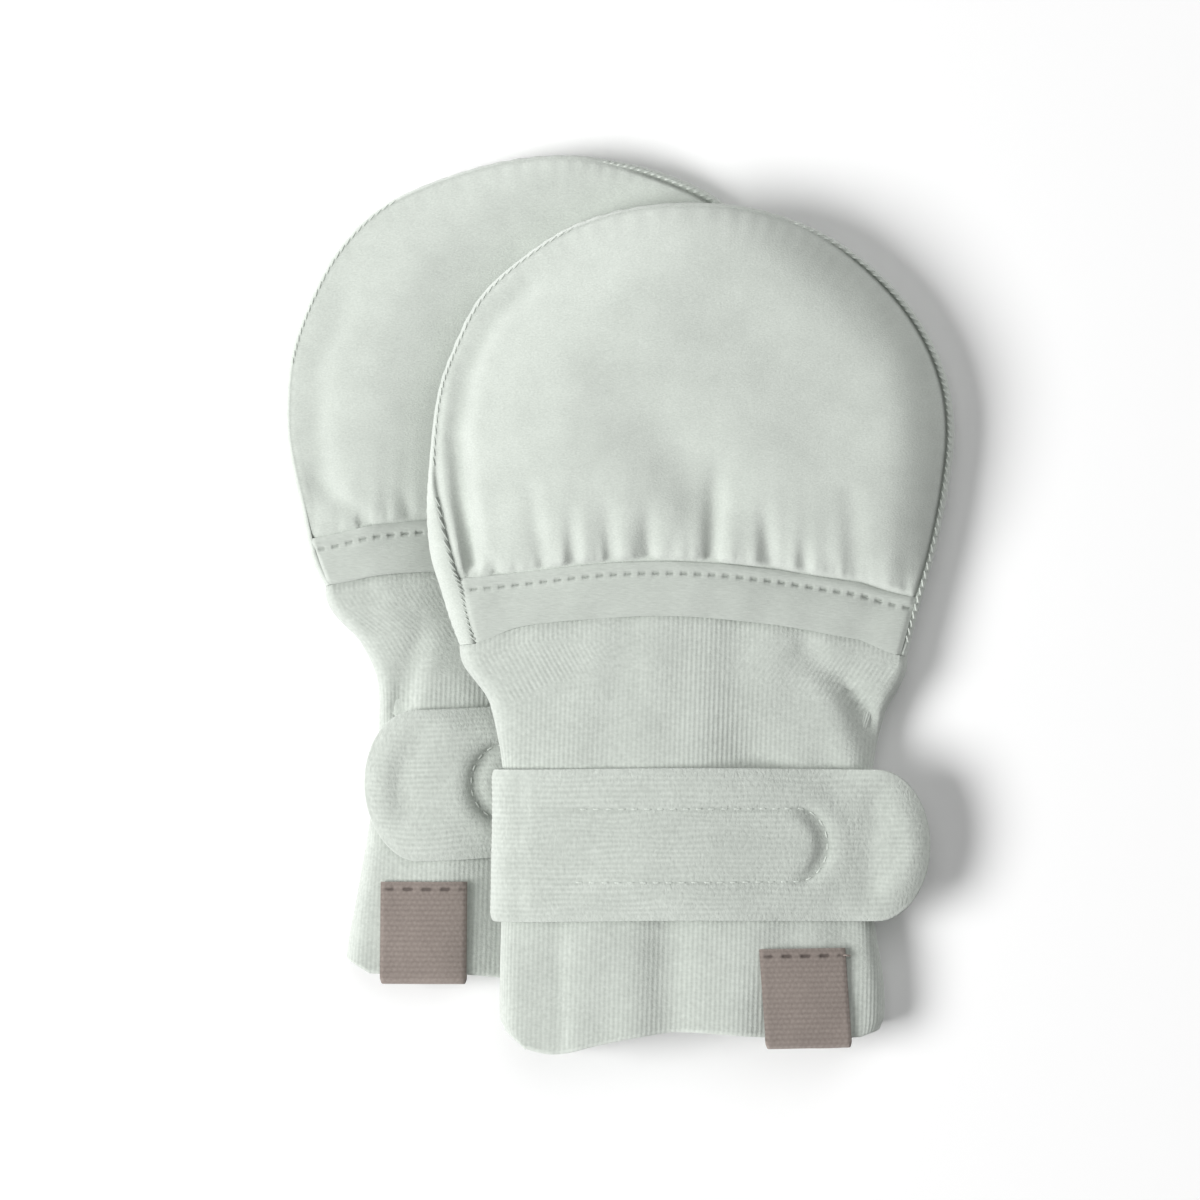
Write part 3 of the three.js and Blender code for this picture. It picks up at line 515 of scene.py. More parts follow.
def palm_height(mitten, x, y, share, from_band, from_seam):
    """Top of the hand without its folds: domed between the seam and the band."""
    to_right = ease(*EDGE_TURN, x - np.mean([mitten["band_top"][0][0], mitten["band_top"][-1][0]]))
    inside = np.clip(from_seam / lerp(*EDGE_REACH, to_right), 0, 1)
    gentle = 0.5 * (1 - (1 - inside) ** 2) + 0.5 * ease(0, 1, inside)
    edge = lerp(gentle, 1 - (1 - inside) ** 3, to_right)
    rise = 1 - np.exp(-(from_band + 0.8) / GATHER_REACH)
    base = seam_top(mitten, x, y)
    wrist = crown_height(mitten, x, y, share) * np.exp(-from_band / CROWN_REACH)
    dome = height(mitten, x, y, "dome")
    if mitten is REAR:
        dome = lerp(PRESSED["dome"], REAR_DOME, ease(*DOME_FADE, outside(OUTLINES["front"], x, y)))
    return base + wrist + dome * edge * rise


def palm_panel(mitten):
    """Palm panel: gathered into the band below, sewn to the back panel round its edge."""
    columns, rows = 270, 100
    top = mitten["band_top"]
    first = seam_at(mitten, top[0][1], False)
    last = seam_at(mitten, top[-1][1], True)
    left = hand_point(mitten, first, 2)[0] + 0.3
    right = hand_point(mitten, last, 2)[0] - 0.3
    share = np.linspace(0, 1, columns)[:, None]
    u = lerp(first, last, share)
    seam = hand_point(mitten, u, 2)
    rim = -outside(OUTLINES[mitten["name"]], *seam)
    x = lerp(left, right, share)
    band_y = along(top, x)
    guide = (lerp(x, seam[0], 0.2), lerp(band_y, seam[1], 0.5))
    t = np.linspace(0, 1, rows)[None, :]
    v = lerp(t, 0.5 - 0.5 * np.cos(math.pi * t), 0.9)
    px = lerp(lerp(x, guide[0], v), lerp(guide[0], seam[0], v), v)
    py = lerp(lerp(band_y, guide[1], v), lerp(guide[1], seam[1], v), v)
    from_band = np.maximum(py - along(top, px), 0)
    from_seam, place = nearest(SEAMS[mitten["name"]], px, py)
    across = (px - left) / (right - left)
    pz = palm_height(mitten, px, py, across, from_band, from_seam)
    plain = np.stack([px, py, pz], -1)
    normal = normals(plain)
    up = 1 if normal[columns // 2, rows // 2, 2] > 0 else -1
    inwards = up * normal * JERSEY
    inwards[..., :2] *= ease(0, 3, from_seam)[..., None]
    under = plain - inwards
    length = place * HAND_LENGTH
    seam_puckers = 0.15 * np.sin(TAU * length / PUCKER_PITCH + np.sin(length / 8))
    seam_puckers *= np.exp(-from_seam / 2.2) * ease(0, 0.8, from_seam)
    gathers = sum(
        high * np.sin(TAU * px / pitch + wander * np.sin(px / slow)) * np.exp(-from_band / reach)
        for high, pitch, wander, slow, reach in GATHERS
    )
    dip = seam_dip(rim) * bell(from_seam, SEAM_GROOVE)
    # Painted shade: darker in the seam's groove and just under the band's edge.
    tint = dip / SEAM_DIPS[1] + 0.15 * bell(from_band, 0.4)
    dip = dip + 0.4 * bell(from_band, 0.45)
    soft = 0.20 * waves(px, py, 19, 3) * ease(0, 8, from_seam)
    free = relief(mitten, px, py)
    fine = 0.9 * folds(mitten, px, py) * ease(0, 1.6, from_seam)
    fine = fine + (seam_puckers + gathers + soft) * free - dip
    deepest = -GATHER_DEEPEST - 1.3 * from_band
    fine = deepest + np.logaddexp(0, (fine - deepest) / 0.15) * 0.15
    base = seam_top(mitten, px, py) + crown_height(mitten, px, py, across)
    held = np.clip(pz + fine - base, *HELD) + base - pz
    fine = lerp(fine, held, bell(from_band, 0.6))
    raised = np.stack([0 * fine, 0 * fine, fine], -1)
    return closed_mesh(mitten, "palm", plain + raised, under + raised, tint=tint)


def band(mitten):
    """Binding over the gathers. Each stitch near its upper edge pulls a pocket into it."""
    columns, rows = 420, 30
    proud = 0.5
    top, low = mitten["band_top"], mitten["band_low"]
    wraps = mitten is REAR
    corners = {}
    at_top = (seam_at(mitten, top[0][1], False), seam_at(mitten, top[-1][1], True))
    for edge, (a, b) in (("top", at_top), ("low", (0, 1))):
        left = hand_point(mitten, a, 0)[0] + 0.05 if wraps else hand_point(mitten, a, 2)[0] - BAND_LAP
        corners[edge] = (left, hand_point(mitten, b, 2)[0] + BAND_LAP)
    share = np.linspace(0, 1, columns)[:, None]
    if wraps:
        share = lerp(share, share ** 2, 0.5)
    top_x, low_x = lerp(*corners["top"], share), lerp(*corners["low"], share)
    t = np.linspace(0, 1, rows)[None, :]
    v = lerp(t, 0.5 - 0.5 * np.cos(math.pi * t), 0.5)
    x = lerp(top_x, low_x, v)
    y = lerp(along(top, top_x), along(low, low_x), v)
    z = seam_top(mitten, x, y)
    z = z + (height(mitten, x, y, "crown") + proud) * crown(share)
    if wraps:
        edge_x = lerp(corners["top"][0], corners["low"][0], v)
        wrap = np.clip(1 - (x - edge_x) / WRAP_RADIUS, 0, 1)
        z = z - 0.5 * height(mitten, x, y, "seam") * (1 - np.sqrt(1 - np.minimum(wrap, 0.999) ** 2))
    depth = along(top, top_x) - along(low, low_x)
    from_top = v * depth
    free = relief(mitten, x, y)
    across = from_top - STITCH_LINE
    pocket = ease(-0.75, 0.45, np.cos(TAU * x / STITCH_PITCH))
    seen = ease(0.8, 2.4, x - top_x[0])
    groove = bell(across, 0.13 + 0.12 * pocket) * pocket * seen
    pull = 0.20 * bell(across, 0.95) * seen
    swelling = 0.42 * np.sin(math.pi * np.clip(across / (depth - STITCH_LINE), 0, 1)) ** 0.8
    lip = 0.22 * np.sin(math.pi * np.clip(from_top / STITCH_LINE, 0, 1))
    top_dip = 0.4 * bell(from_top, 0.45)
    low_dip = (0.5 if wraps else 0.12) * bell(depth - from_top, 0.35)
    side = (1 - share) * (top_x[-1] - top_x[0])
    if not wraps:
        side = np.minimum(share, 1 - share) * (top_x[-1] - top_x[0])
    side_dip = 0.5 * bell(side, 0.6)
    uneven = 0.16 * waves(x, y, 10, 5) * free
    raised = swelling + lip + uneven
    outer = np.stack([x, y, z + raised - 0.5 * groove - pull - top_dip - low_dip - side_dip], -1)
    inner = np.stack([x, y, z - BAND], -1)
    # Painted shade: darker in the stitch pockets and in the dips along the band's upper and lower edges.
    tint = groove * 0.9 + 0.25 * top_dip + 0.4 * low_dip
    return closed_mesh(mitten, "band", outer, inner, tint=tint)


def cuff_sides(mitten, share, right):
    """Foot, outline and shoulder of one side of the cuff at a share of its length."""
    edge = mitten["cuff_right" if right else "cuff_left"]
    into = -1 if right else 1
    sx, sy, ox, oy = mitten["hand"][-1 if right else 0]
    hem_x = mitten["hem"][-1 if right else 0][0]
    side_y = lerp(sy - WRIST_GAP, along(mitten["hem"], hem_x), share)
    top_y = lerp(oy - WRIST_GAP, along(mitten["hem"], hem_x + into * CUFF_SHOULDER), share)
    start = ease(0, 0.15, share)
    shoulder = lerp(ox, along(edge, np.maximum(top_y, HEM_CORNER)) + into * CUFF_SHOULDER, start)
    side = lerp(sx, along(edge, side_y), start)
    return (side + into * SIDE_RADIUS, side_y), (side, side_y), (shoulder, top_y)


def tuck_lift(mitten, x, y):
    """Where the strap is tucked under the cuff, the cuff's underside lies on it."""
    wrapped = mitten["cuff_left" if mitten["tip"] > 0 else "cuff_right"]
    from_edge = (x - along(wrapped, y)) * mitten["tip"]
    across = np.abs(y - along(mitten["strap_middle"], x))
    near = ease(STRAP_HALF + 9.5, STRAP_HALF + 4.5, across)
    return (STRAP + LAID_GAP) * near * ease(STRAP_TUCK + 11, STRAP_TUCK + 3, from_edge)


def cuff_top(mitten, x, y, share, bridged=False):
    """Height of the cuff's top. What lies on it is bridged: it spans the troughs."""
    fold = folds(mitten, x, y)
    plain = seam_top(mitten, x, y) + crown_height(mitten, x, y, share)
    return plain + (np.maximum(fold, 0) if bridged else fold)


def cuff_flat(mitten, bottom, place, share):
    """Points of the cuff's flat underside or of its top."""
    key = 0 if bottom else 2
    left, right = cuff_sides(mitten, share, False)[key], cuff_sides(mitten, share, True)[key]
    start_x, end_x = (lerp(cuff_sides(mitten, s, False)[key][0], cuff_sides(mitten, s, True)[key][0], place)
                      for s in (0, 1))
    wrist_y = lerp(cuff_sides(mitten, 0, False)[key][1], cuff_sides(mitten, 0, True)[key][1], place)
    start_y = wrist_y if bottom else along(mitten["band_low"], start_x)
    y = lerp(start_y, along(mitten["hem"], end_x), share)
    x = lerp(left[0], right[0], place)
    z = lift(mitten, x, y) + tuck_lift(mitten, x, y) if bottom else cuff_top(mitten, x, y, place)
    return x, y, z


def cuff_side(mitten, right, angle, share):
    """Points of a rounded side of the cuff."""
    foot, side, top = cuff_sides(mitten, share, right)
    low = lift(mitten, *side) + tuck_lift(mitten, *foot)
    high = cuff_top(mitten, *top, 0) - folds(mitten, *top)
    x, y, z = side_arc(foot, side, top, low, high, angle)
    return x, y, z + folds(mitten, x, y) * np.maximum(np.sin(angle), 0) ** 2


def cuff_ring(mitten, share, per_rib):
    """Points of the cuff round its outside, their outward directions, and their place across the ribs."""
    quarter = math.pi / 2
    points, outs, places = [], [], []
    for part, ribs in CUFF_RIBS.items():
        t = (np.arange(ribs * per_rib) / (ribs * per_rib))[:, None]
        if part in ("bottom", "top"):
            x, y, z = cuff_flat(mitten, part == "bottom", t if part == "bottom" else 1 - t, share)
            out_x, out_z = 0 * t, (-1 if part == "bottom" else 1) + 0 * t
            place = x + RIB_LEAN * y
        else:
            turn = t if part == "right" else 1 - t
            x, y, z = cuff_side(mitten, part == "right", lerp(-quarter, quarter, turn), share)
            angle = lerp(-quarter, quarter, turn)
            sign = 1 if part == "right" else -1
            out_x, out_z = sign * np.cos(angle), np.sin(angle)
            shoulder = cuff_sides(mitten, share, part == "right")[2]
            place = shoulder[0] + RIB_LEAN * shoulder[1] + sign * (1 - turn) * CUFF_ARC
            place = lerp(x + RIB_LEAN * y, place, ease(0.15, 0.4, share))
        points.append(np.stack(np.broadcast_arrays(x, y, z), -1))
        outs.append(np.stack([out_x, 0 * t, out_z], -1))
        places.append(place + 0 * x)
    points = np.concatenate(points)
    right_shoulder = (CUFF_RIBS["bottom"] + CUFF_RIBS["right"]) * per_rib
    for column in (right_shoulder, right_shoulder + CUFF_RIBS["top"] * per_rib):
        points[..., 2] = evened(points[..., 2], column, 4 * per_rib, 7 * per_rib)
    return points, np.concatenate(outs), np.concatenate(places)


def evened(rows, middle, reach, fade):
    """Rows smoothed with their neighbours round one of them."""
    weights = np.hanning(2 * reach + 3)[1:-1]
    weights = weights / weights.sum()
    smooth = sum(w * np.roll(rows, k, axis=0) for k, w in zip(range(-reach, reach + 1), weights))
    share = bell(np.arange(len(rows)) - middle, fade)[:, None]
    return lerp(rows, smooth, share)


def cuff(mitten):
    """Open ribbed tube, folded at the hem."""
    per_rib, outer_rows, inner_rows, fold_rows = 5, 54, 9, 6
    hem_start = 1 - HEM_ROUND / CUFF_LENGTH
    steps = np.linspace(0, hem_start, outer_rows)[None, :]
    points, out, place = cuff_ring(mitten, steps, per_rib)
    rib = np.cos(TAU * place / RIB_PITCH)[..., None]
    x, y = points[..., 0], points[..., 1]
    faint = 0.85 + 0.25 * waves(x, y * 0.3, 24, 4)
    faint = faint * np.where(out[..., 2] > 0.999, 1, lerp(0.15, 1, ease(0.02, 0.35, steps)))
    rib = rib * faint[..., None]
    free = relief(mitten, x, y, 0.3)[..., None]
    soft = 0.26 * waves(x, y * 0.5, 11, 8)[..., None] * free * np.maximum(out[..., 2:], 0)
    start_dip = 0.42 if mitten is REAR else 0.2
    start = start_dip * bell(steps * CUFF_LENGTH, 0.35)[..., None] * np.maximum(out[..., 2:], 0)
    outer = points + out * (rib * RIB_DEPTH + soft - start)
    inner_steps = np.linspace(0, hem_start, inner_rows)[None, :]
    inside, _, inner_place = cuff_ring(mitten, inner_steps, per_rib)
    inner_rib = np.cos(TAU * inner_place / RIB_PITCH)[..., None]
    inner = inside - out * (RIB - inner_rib * RIB_DEPTH)
    angle = (np.arange(fold_rows) + 0.5)[None, :, None] * math.pi / fold_rows
    round_out = np.array([0.0, -HEM_ROUND, 0.0]) * np.sin(angle)
    edge = lerp(outer[:, -1:], inner[:, -1:], (1 - np.cos(angle)) / 2) + round_out
    # Painted shade: darker in the troughs between the ribs and where the cuff dips under the band.
    tint = 0.14 - 0.14 * rib[..., 0] + start[..., 0]
    return closed_mesh(mitten, "cuff", outer, inner, edge, ring=True, tint=tint)


def over_top(mitten, x, y):
    """Height of the cuff's top, evened out across the cuff."""
    offsets = (-3, -1.5, 0, 1.5, 3)
    return sum(bridge(mitten, x + offset, y) for offset in offsets) / len(offsets)


def bridge(mitten, x, y):
    """Height of the cuff's top for what lies on it. Past the shoulder it only sags a little."""
    from_y = cuff_flat(mitten, False, np.array(0.5), np.array(0.0))[1]
    to_y = cuff_flat(mitten, False, np.array(0.5), np.array(1.0))[1]
    share = (y - from_y) / (to_y - from_y)
    left = cuff_sides(mitten, share, False)[2][0]
    right = cuff_sides(mitten, share, True)[2][0]
    inside = np.clip(x, left, right)
    past = np.abs(x - inside)
    z = cuff_top(mitten, inside, y, (inside - left) / (right - left), True)
    return z - past * past * OVERHANG_SAG


def patch_start(mitten):
    return mitten["patch_round"] - mitten["tip"] * (mitten["patch_length"] - PATCH_ROUND)


def strap_side(mitten):
    """Which side of the cuff the strap goes round, the y of that side's ends, and how far down it lies."""
    right = mitten["tip"] < 0
    ends = [cuff_side(mitten, right, 0.0, np.array(s))[1] for s in (0.0, 1.0)]
    middle_y = along(mitten["strap_middle"], mitten["strap_end"])
    return right, ends, (middle_y - ends[0]) / (ends[1] - ends[0])


def strap(mitten):
    """Strap: sewn under one side of the cuff, round that side and over the top to a round end."""
    tip = mitten["tip"]
    right, ends, share = strap_side(mitten)
    under_columns, side_columns, top_columns, rows = 8, 20, 120, 152
    t = np.linspace(-1, 1, rows)[None, :]
    v = np.sign(t) * (1 - (1 - np.abs(t)) ** 1.12)
    stack = LAID_GAP + PATCH + 0.1
    round_start = mitten["strap_end"] - tip * STRAP_ROUND
    foot, side, top = cuff_sides(mitten, share, right)
    sewn_x = foot[0] + tip * (STRAP_TUCK - SIDE_RADIUS)
    under_x = np.linspace(sewn_x, foot[0], under_columns, endpoint=False)
    angle = np.linspace(-math.pi / 2, math.pi / 2, side_columns, endpoint=False)
    top_x = np.linspace(top[0] + tip * 0.5, round_start, top_columns)
    turn = np.linspace(0, 1, 34)[1:] ** 0.8 * math.radians(87)
    end_x = round_start + tip * STRAP_ROUND * np.sin(turn)
    grids = []
    for part, keys in (("under", under_x), ("side", angle), ("top", top_x), ("end", end_x)):
        k = keys[:, None]
        half = STRAP_HALF * (np.cos(turn)[:, None] if part == "end" else 1)
        x = (side_arc(foot, side, top, 0, 0, k)[0] if part == "side" else k) + 0 * v
        y = along(mitten["strap_middle"], x) + v * half
        out = np.zeros(x.shape + (3,))
        rise = LAID_GAP + 0 * x
        if part == "side":
            row_share = np.clip((y - ends[0]) / (ends[1] - ends[0]), 0, 1)
            x, _, z = cuff_side(mitten, right, k + 0 * v, row_share)
            out[..., 0] = (1 if right else -1) * np.cos(k)
            out[..., 2] = np.sin(k)
        elif part == "under":
            z = lift(mitten, x, y) + tuck_lift(mitten, x, y)
            out[..., 2] = -1
        else:
            z = over_top(mitten, x, y)
            rise = lerp(LAID_GAP, stack, ease(-PATCH_RAMP, -1, (x - patch_start(mitten)) * tip))
            out[..., 2] = 1
        grids.append((np.stack([x, y, z], -1), out, rise + 0 * x))
    points, out, rise = (np.concatenate([g[n] for g in grids]) for n in range(3))
    x, y = points[..., 0], points[..., 1]
    on_top = out[..., 2] > 0.99
    middle = along(mitten["strap_middle"], x)
    past = np.maximum((x - round_start) * tip, 0) * on_top
    radial = np.hypot(past / STRAP_ROUND, (y - middle) / STRAP_HALF)
    from_edge = np.where(past > 0, (1 - radial) * ROUND_END_REACH, STRAP_HALF - np.abs(y - middle))
    from_edge = np.clip(from_edge, 0, None)
    line, along_line = nearest(stitch_outline(mitten), x, y)
    inside = outside(stitch_outline(mitten), x, y) < 0
    from_line = np.where(inside, -line, line)
    fade = ease(0, 5, (x - patch_start(mitten)) * tip) * on_top
    near_arc = ease(-14, 2, (x - mitten["patch_round"]) * tip)
    on_arc = ease(-1.5, 3, (x - mitten["patch_round"]) * tip)
    stitches = along_line * path_length(stitch_outline(mitten)) / PATCH_STITCH
    pocket = 0.5 + 0.5 * np.tanh(3.0 * np.cos(TAU * stitches))
    flank = bell(from_line, 0.40) * fade
    valley = bell(from_line, 1.3) * fade
    bulge = bell(from_line - 2.4, 1.7) * fade * lerp(0.5, 1, near_arc)
    hollow = bell(from_line + 0.9, 1.15) * fade * on_arc
    row = y - middle + 0.22 * waves(x, y * 2, 13, 2)
    faint = 0.75 + 0.25 * waves(x, y, 9, 31)
    knit = KNIT_DEPTH * faint * np.cos(TAU * row / KNIT_PITCH) * ease(0.2, 1.6, from_edge)
    soft = 0.22 * waves(x * 0.6, y, 12, 11) * on_top
    edge_round = 1 - np.clip(from_edge / STRAP_EDGE, 0, 1)
    bend = STRAP_BEND * (1 - np.sqrt(np.clip(1 - edge_round ** 2, 0, 1)))
    droop = -(rise - LAID_GAP) * (1 - ease(0, DROOP_REACH, from_edge)) * on_top
    sag, _ = nearest(mitten["strap_sag"], x, y)
    droop = droop - STRAP_SAG * bell(sag, SAG_REACH) * ease(0, DROOP_REACH, from_edge) * on_top
    pillow = PILLOW_HEIGHT * np.sin(math.pi * np.clip((from_edge - 0.5) / PILLOW_WIDTH, 0, 1)) * on_top
    seam = 0.10 + 0.12 * pocket + 0.15 * on_arc
    shape = knit + soft + pillow - flank * seam - 0.3 * valley + 0.25 * bulge - 0.85 * hollow - bend
    shape = shape + droop
    outer = points + out * (rise + STRAP + shape)[..., None]
    inner = points + out * (rise + droop + bend)[..., None]
    # Painted shade: darker along the patch's stitch line, in the hollow inside its round end and in the
    # knit's troughs, lighter on its crests.
    tint = flank * (0.05 + 0.15 * pocket + 0.2 * on_arc) + 0.25 * hollow + 0.13 - 0.13 * knit / KNIT_DEPTH
    return closed_mesh(mitten, "strap", outer, inner, tint=tint)


def stitch_outline(mitten):
    """The line that sews the hook patch to the strap: two sides and a round end."""
    tip, end = mitten["tip"], mitten["patch_round"]
    start = patch_start(mitten)
    turns = np.linspace(-math.pi / 2, math.pi / 2, 25)
    x = np.concatenate([[start], end + tip * PATCH_ROUND * np.cos(turns), [start]])
    y = np.concatenate([[-PATCH_HALF], PATCH_HALF * np.sin(turns), [PATCH_HALF]])
    return np.stack([x, y + along(mitten["strap_middle"], x)], -1)


def path_length(path):
    return np.linalg.norm(np.diff(path, axis=0), axis=1).sum()


def patch(mitten):
    """Hook patch under the strap."""
    tip = mitten["tip"]
    turn = np.linspace(0, math.radians(85), 14)[1:]
    straight = np.linspace(patch_start(mitten), mitten["patch_round"], 50)
    x = np.concatenate([straight, mitten["patch_round"] + tip * PATCH_ROUND * np.sin(turn)])[:, None]
    half = np.concatenate([np.full(50, PATCH_HALF), PATCH_HALF * np.cos(turn)])[:, None]
    v = np.linspace(-1, 1, 17)[None, :]
    y = along(mitten["strap_middle"], x) + v * half
    x = x + 0 * v
    low = over_top(mitten, x, y) + LAID_GAP
    layers = [np.stack([x, y, low + PATCH], -1), np.stack([x, y, low], -1)]
    return closed_mesh(mitten, "patch", *layers)


def label(mitten):
    """Label folded over the hem: one leg on the cuff, one inside it."""
    corner_x, corner_y, turn = mitten["label"]
    slope = math.tan(math.radians(turn))
    a = np.linspace(0, 1, 72)[:, None]
    left_x = corner_x + a * LABEL_WIDTH
    hem_edge = along(mitten["hem"], left_x)
    hem_edge = np.minimum(hem_edge, along(mitten["hem"], corner_x + LABEL_WIDTH / 2))
    side = np.minimum(a, 1 - a) * LABEL_WIDTH
    radius = 0.5
    corner = radius * (1 - np.sqrt(np.clip(1 - (1 - np.clip(side / radius, 0, 1)) ** 2, 0, 1)))
    layers = []
    for near in (False, True):
        out = LABEL_GAP if near else LABEL_GAP + LABEL
        y_front = lerp(corner_y, hem_edge, np.linspace(0, 1, 90)[None, :])
        fold = np.linspace(0, math.pi, 16)[None, 1:-1]
        y_fold = hem_edge - (0.2 + out) * np.sin(fold) * (1 - corner)
        d_fold = lerp(out, -RIB - out, (1 - np.cos(fold)) / 2)
        y_back = hem_edge + LABEL_INSIDE * np.linspace(0, 1, 8)[None, :]
        y = np.hstack([y_front, y_fold, y_back])
        d = np.hstack([out + 0 * y_front, d_fold + 0 * y_fold, -RIB - out + 0 * y_back])
        x = left_x - (y - corner_y) * slope
        weft = TAU * (y - corner_y) / LABEL_WEFT
        warp = TAU * a * LABEL_WIDTH / LABEL_WARP
        weave = 0.65 * np.cos(weft) + 0.5 * np.cos(warp) * np.cos(weft / 2)
        from_line = y - (corner_y - LABEL_STITCH)
        pocket = bell(from_line, 0.32) * np.exp(-((side / LABEL_WIDTH - 0.5) / 0.45) ** 8)
        dash = 0.5 + 0.5 * np.tanh(3 * np.cos(TAU * (a * LABEL_WIDTH - 1.4) / LABEL_DASH))
        edge_round = 0.35 * bell(side, 0.4) + 0.3 * bell(y - corner_y, 0.4)
        worn = 0.14 * waves(x, y, 9, 21)
        if near:
            fine = 0.6 * edge_round
        else:
            fine = 0.035 * weave - edge_round - 0.35 * pocket * dash
            # Painted light: lighter on the weave's raised pips as painted highlight, and darker in the
            # stitch dashes as painted shade.
            tint = np.clip(0.22 - 0.2 * weave + 1.2 * pocket * dash, 0, 1.6)
        z = over_top(mitten, x, y) + d + worn + fine * (d > -RIB / 2)
        layers.append(np.stack([x, y, z], -1))
    return closed_mesh(mitten, "label", *layers, tint=tint)


def tubes(name, strands, radius):
    """One mesh of short threads. Each strand is a path of points and narrows at its ends."""
    around = 7
    points, faces = [], []
    turn = np.arange(around) / around * TAU
    for strand in strands:
        strand = np.asarray(strand, float)
        count = len(strand)
        tangent = np.gradient(strand, axis=0)
        tangent /= np.linalg.norm(tangent, axis=1, keepdims=True)
        side = np.cross(tangent, [0, 0, 1])
        side /= np.maximum(np.linalg.norm(side, axis=1, keepdims=True), 1e-6)
        up = np.cross(side, tangent)
        size = radius * np.sqrt(np.clip(1 - np.linspace(-0.97, 0.97, count) ** 6, 0.02, 1))[:, None, None]
        ring = side[:, None] * np.cos(turn)[None, :, None] + up[:, None] * np.sin(turn)[None, :, None]
        base = sum(len(p) for p in points)
        points.append((strand[:, None] + ring * size).reshape(-1, 3))
        for i in range(count - 1):
            for j in range(around):
                k = (j + 1) % around
                faces.append([base + i * around + j, base + i * around + k,
                              base + (i + 1) * around + k, base + (i + 1) * around + j])
        faces.append([base + j for j in reversed(range(around))])
        faces.append([base + (count - 1) * around + j for j in range(around)])
    return add_mesh(name, np.concatenate(points), faces)


def surface_height(obj, x, y):
    """Height of a cloth object's top at a place of the plan, by a ray from above."""
    hit, place, _, _ = obj.ray_cast(((x + SHIFT[0]) * MM, (y + SHIFT[1]) * MM, 0.1), (0, 0, -1))
    return place[2] / MM if hit else 0.0


def band_stitches(mitten):
    """A thread in each pocket of the band."""
    surface = pieces[f"{mitten['name']}_band"]
    top = mitten["band_top"]
    left = seam_point(mitten, top[0][1], False) + 1.6
    right = seam_point(mitten, top[-1][1], True) - 0.6
    strands = []
    for k in range(math.ceil(left / STITCH_PITCH), math.floor(right / STITCH_PITCH) + 1):
        strand = []
        for step in np.linspace(-1, 1, 7):
            x = k * STITCH_PITCH + step * STITCH_HALF
            y = along(top, x) - STITCH_LINE + 0.10 * step
            strand.append([x, y, surface_height(surface, x, y) - 0.02 - 0.2 * step ** 4])
        strands.append(strand)
    return tubes(f"{mitten['name']}_band_stitches", strands, 0.10)


def seam_point(mitten, y, right):
    """Where the seam crosses a height of the plan, on the left or on the right."""
    return float(hand_point(mitten, seam_at(mitten, y, right), 2)[0])


def patch_stitches(mitten):
    """Stitches that sew the hook patch to the strap."""
    surface = pieces[f"{mitten['name']}_strap"]
    path = stitch_outline(mitten)
    lengths = np.concatenate([[0], np.cumsum(np.linalg.norm(np.diff(path, axis=0), axis=1))])
    strands = []
    for k in range(int(lengths[-1] / PATCH_STITCH) + 1):
        strand = []
        for step in np.linspace(-1, 1, 7):
            at = np.clip(k * PATCH_STITCH + step * STITCH_HALF, 0, lengths[-1])
            x, y = np.interp(at, lengths, path[:, 0]), np.interp(at, lengths, path[:, 1])
            strand.append([x, y, surface_height(surface, x, y) + 0.08 - 0.24 * step ** 4])
        if (strand[3][0] - patch_start(mitten)) * mitten["tip"] > 3:
            strands.append(strand)
    return tubes(f"{mitten['name']}_patch_stitches", strands, 0.13)


def rim_point(mitten, u, angle):
    """Point of the rolled edge outside the seam, at an angle up from the outline."""
    side, seam = hand_point(mitten, u, 0), hand_point(mitten, u, 2)
    dx, dy = inward(mitten, u)
    foot = (side[0] + dx * SIDE_RADIUS, side[1] + dy * SIDE_RADIUS)
    high = seam_top(mitten, *seam)
    return [float(c) for c in side_arc(foot, side, seam, lift(mitten, *side), high, np.array(angle))]


def rim_stitches(mitten, name, start, end, pitch, angles, radius):
    """Slanted overlock stitches round the rim between two places of the hand."""
    strands = []
    count = int((end - start) * HAND_LENGTH / pitch)
    low, high = (math.radians(a) for a in angles)
    slant = 0.55 * pitch / HAND_LENGTH
    for k in range(count):
        u = start + (k + 0.5) / count * (end - start)
        strand = []
        for step in np.linspace(-1, 1, 7):
            angle = lerp(high, low, (step + 1) / 2)
            x, y, z = rim_point(mitten, np.array(u + slant * step), angle)
            raised = radius * 0.6 - 0.3 * step ** 4
            strand.append([x, y, z + raised])
        strands.append(strand)
    return tubes(f"{mitten['name']}_{name}", strands, radius)


def label_thread(mitten):
    """End of the label's sewing thread, past its side."""
    corner_x, corner_y, _ = mitten["label"]
    surface = pieces[f"{mitten['name']}_label"]
    y = corner_y - LABEL_STITCH
    x = corner_x + LABEL_WIDTH + 0.1
    z = surface_height(surface, x - 0.5, y)
    strand = [[x - 0.6, y, z - 0.1], [x - 0.2, y + 0.02, z], [x + 0.2, y, z - 0.25],
              [x + 0.6, y - 0.08, z - 0.7], [x + 0.8, y - 0.15, z - 1.2]]
    return tubes(f"{mitten['name']}_label_thread", [strand], 0.16)


BUILDERS = {
    "back": back_panel, "palm": palm_panel, "band": band, "cuff": cuff,
    "patch": patch, "strap": strap, "label": label,
}
SLOTS = {
    "back": "jersey", "palm": "jersey", "band": "binding", "cuff": "rib",
    "patch": "hook_tape", "strap": "strap_knit", "label": "label_tape",
}
pieces = {}
# What each piece lies on
UNDER = {
    "back": [], "palm": ["back"], "band": ["palm", "cuff"], "cuff": ["back"], "patch": ["cuff"],
    "strap": ["patch", "cuff"], "label": ["cuff"],
}
for mitten in (REAR, FRONT):
    for piece, build in BUILDERS.items():
        obj = build(mitten)
        node = f"{mitten['name']}_{piece}"
        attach(obj, "root")
        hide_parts(node)
        pieces[node] = obj

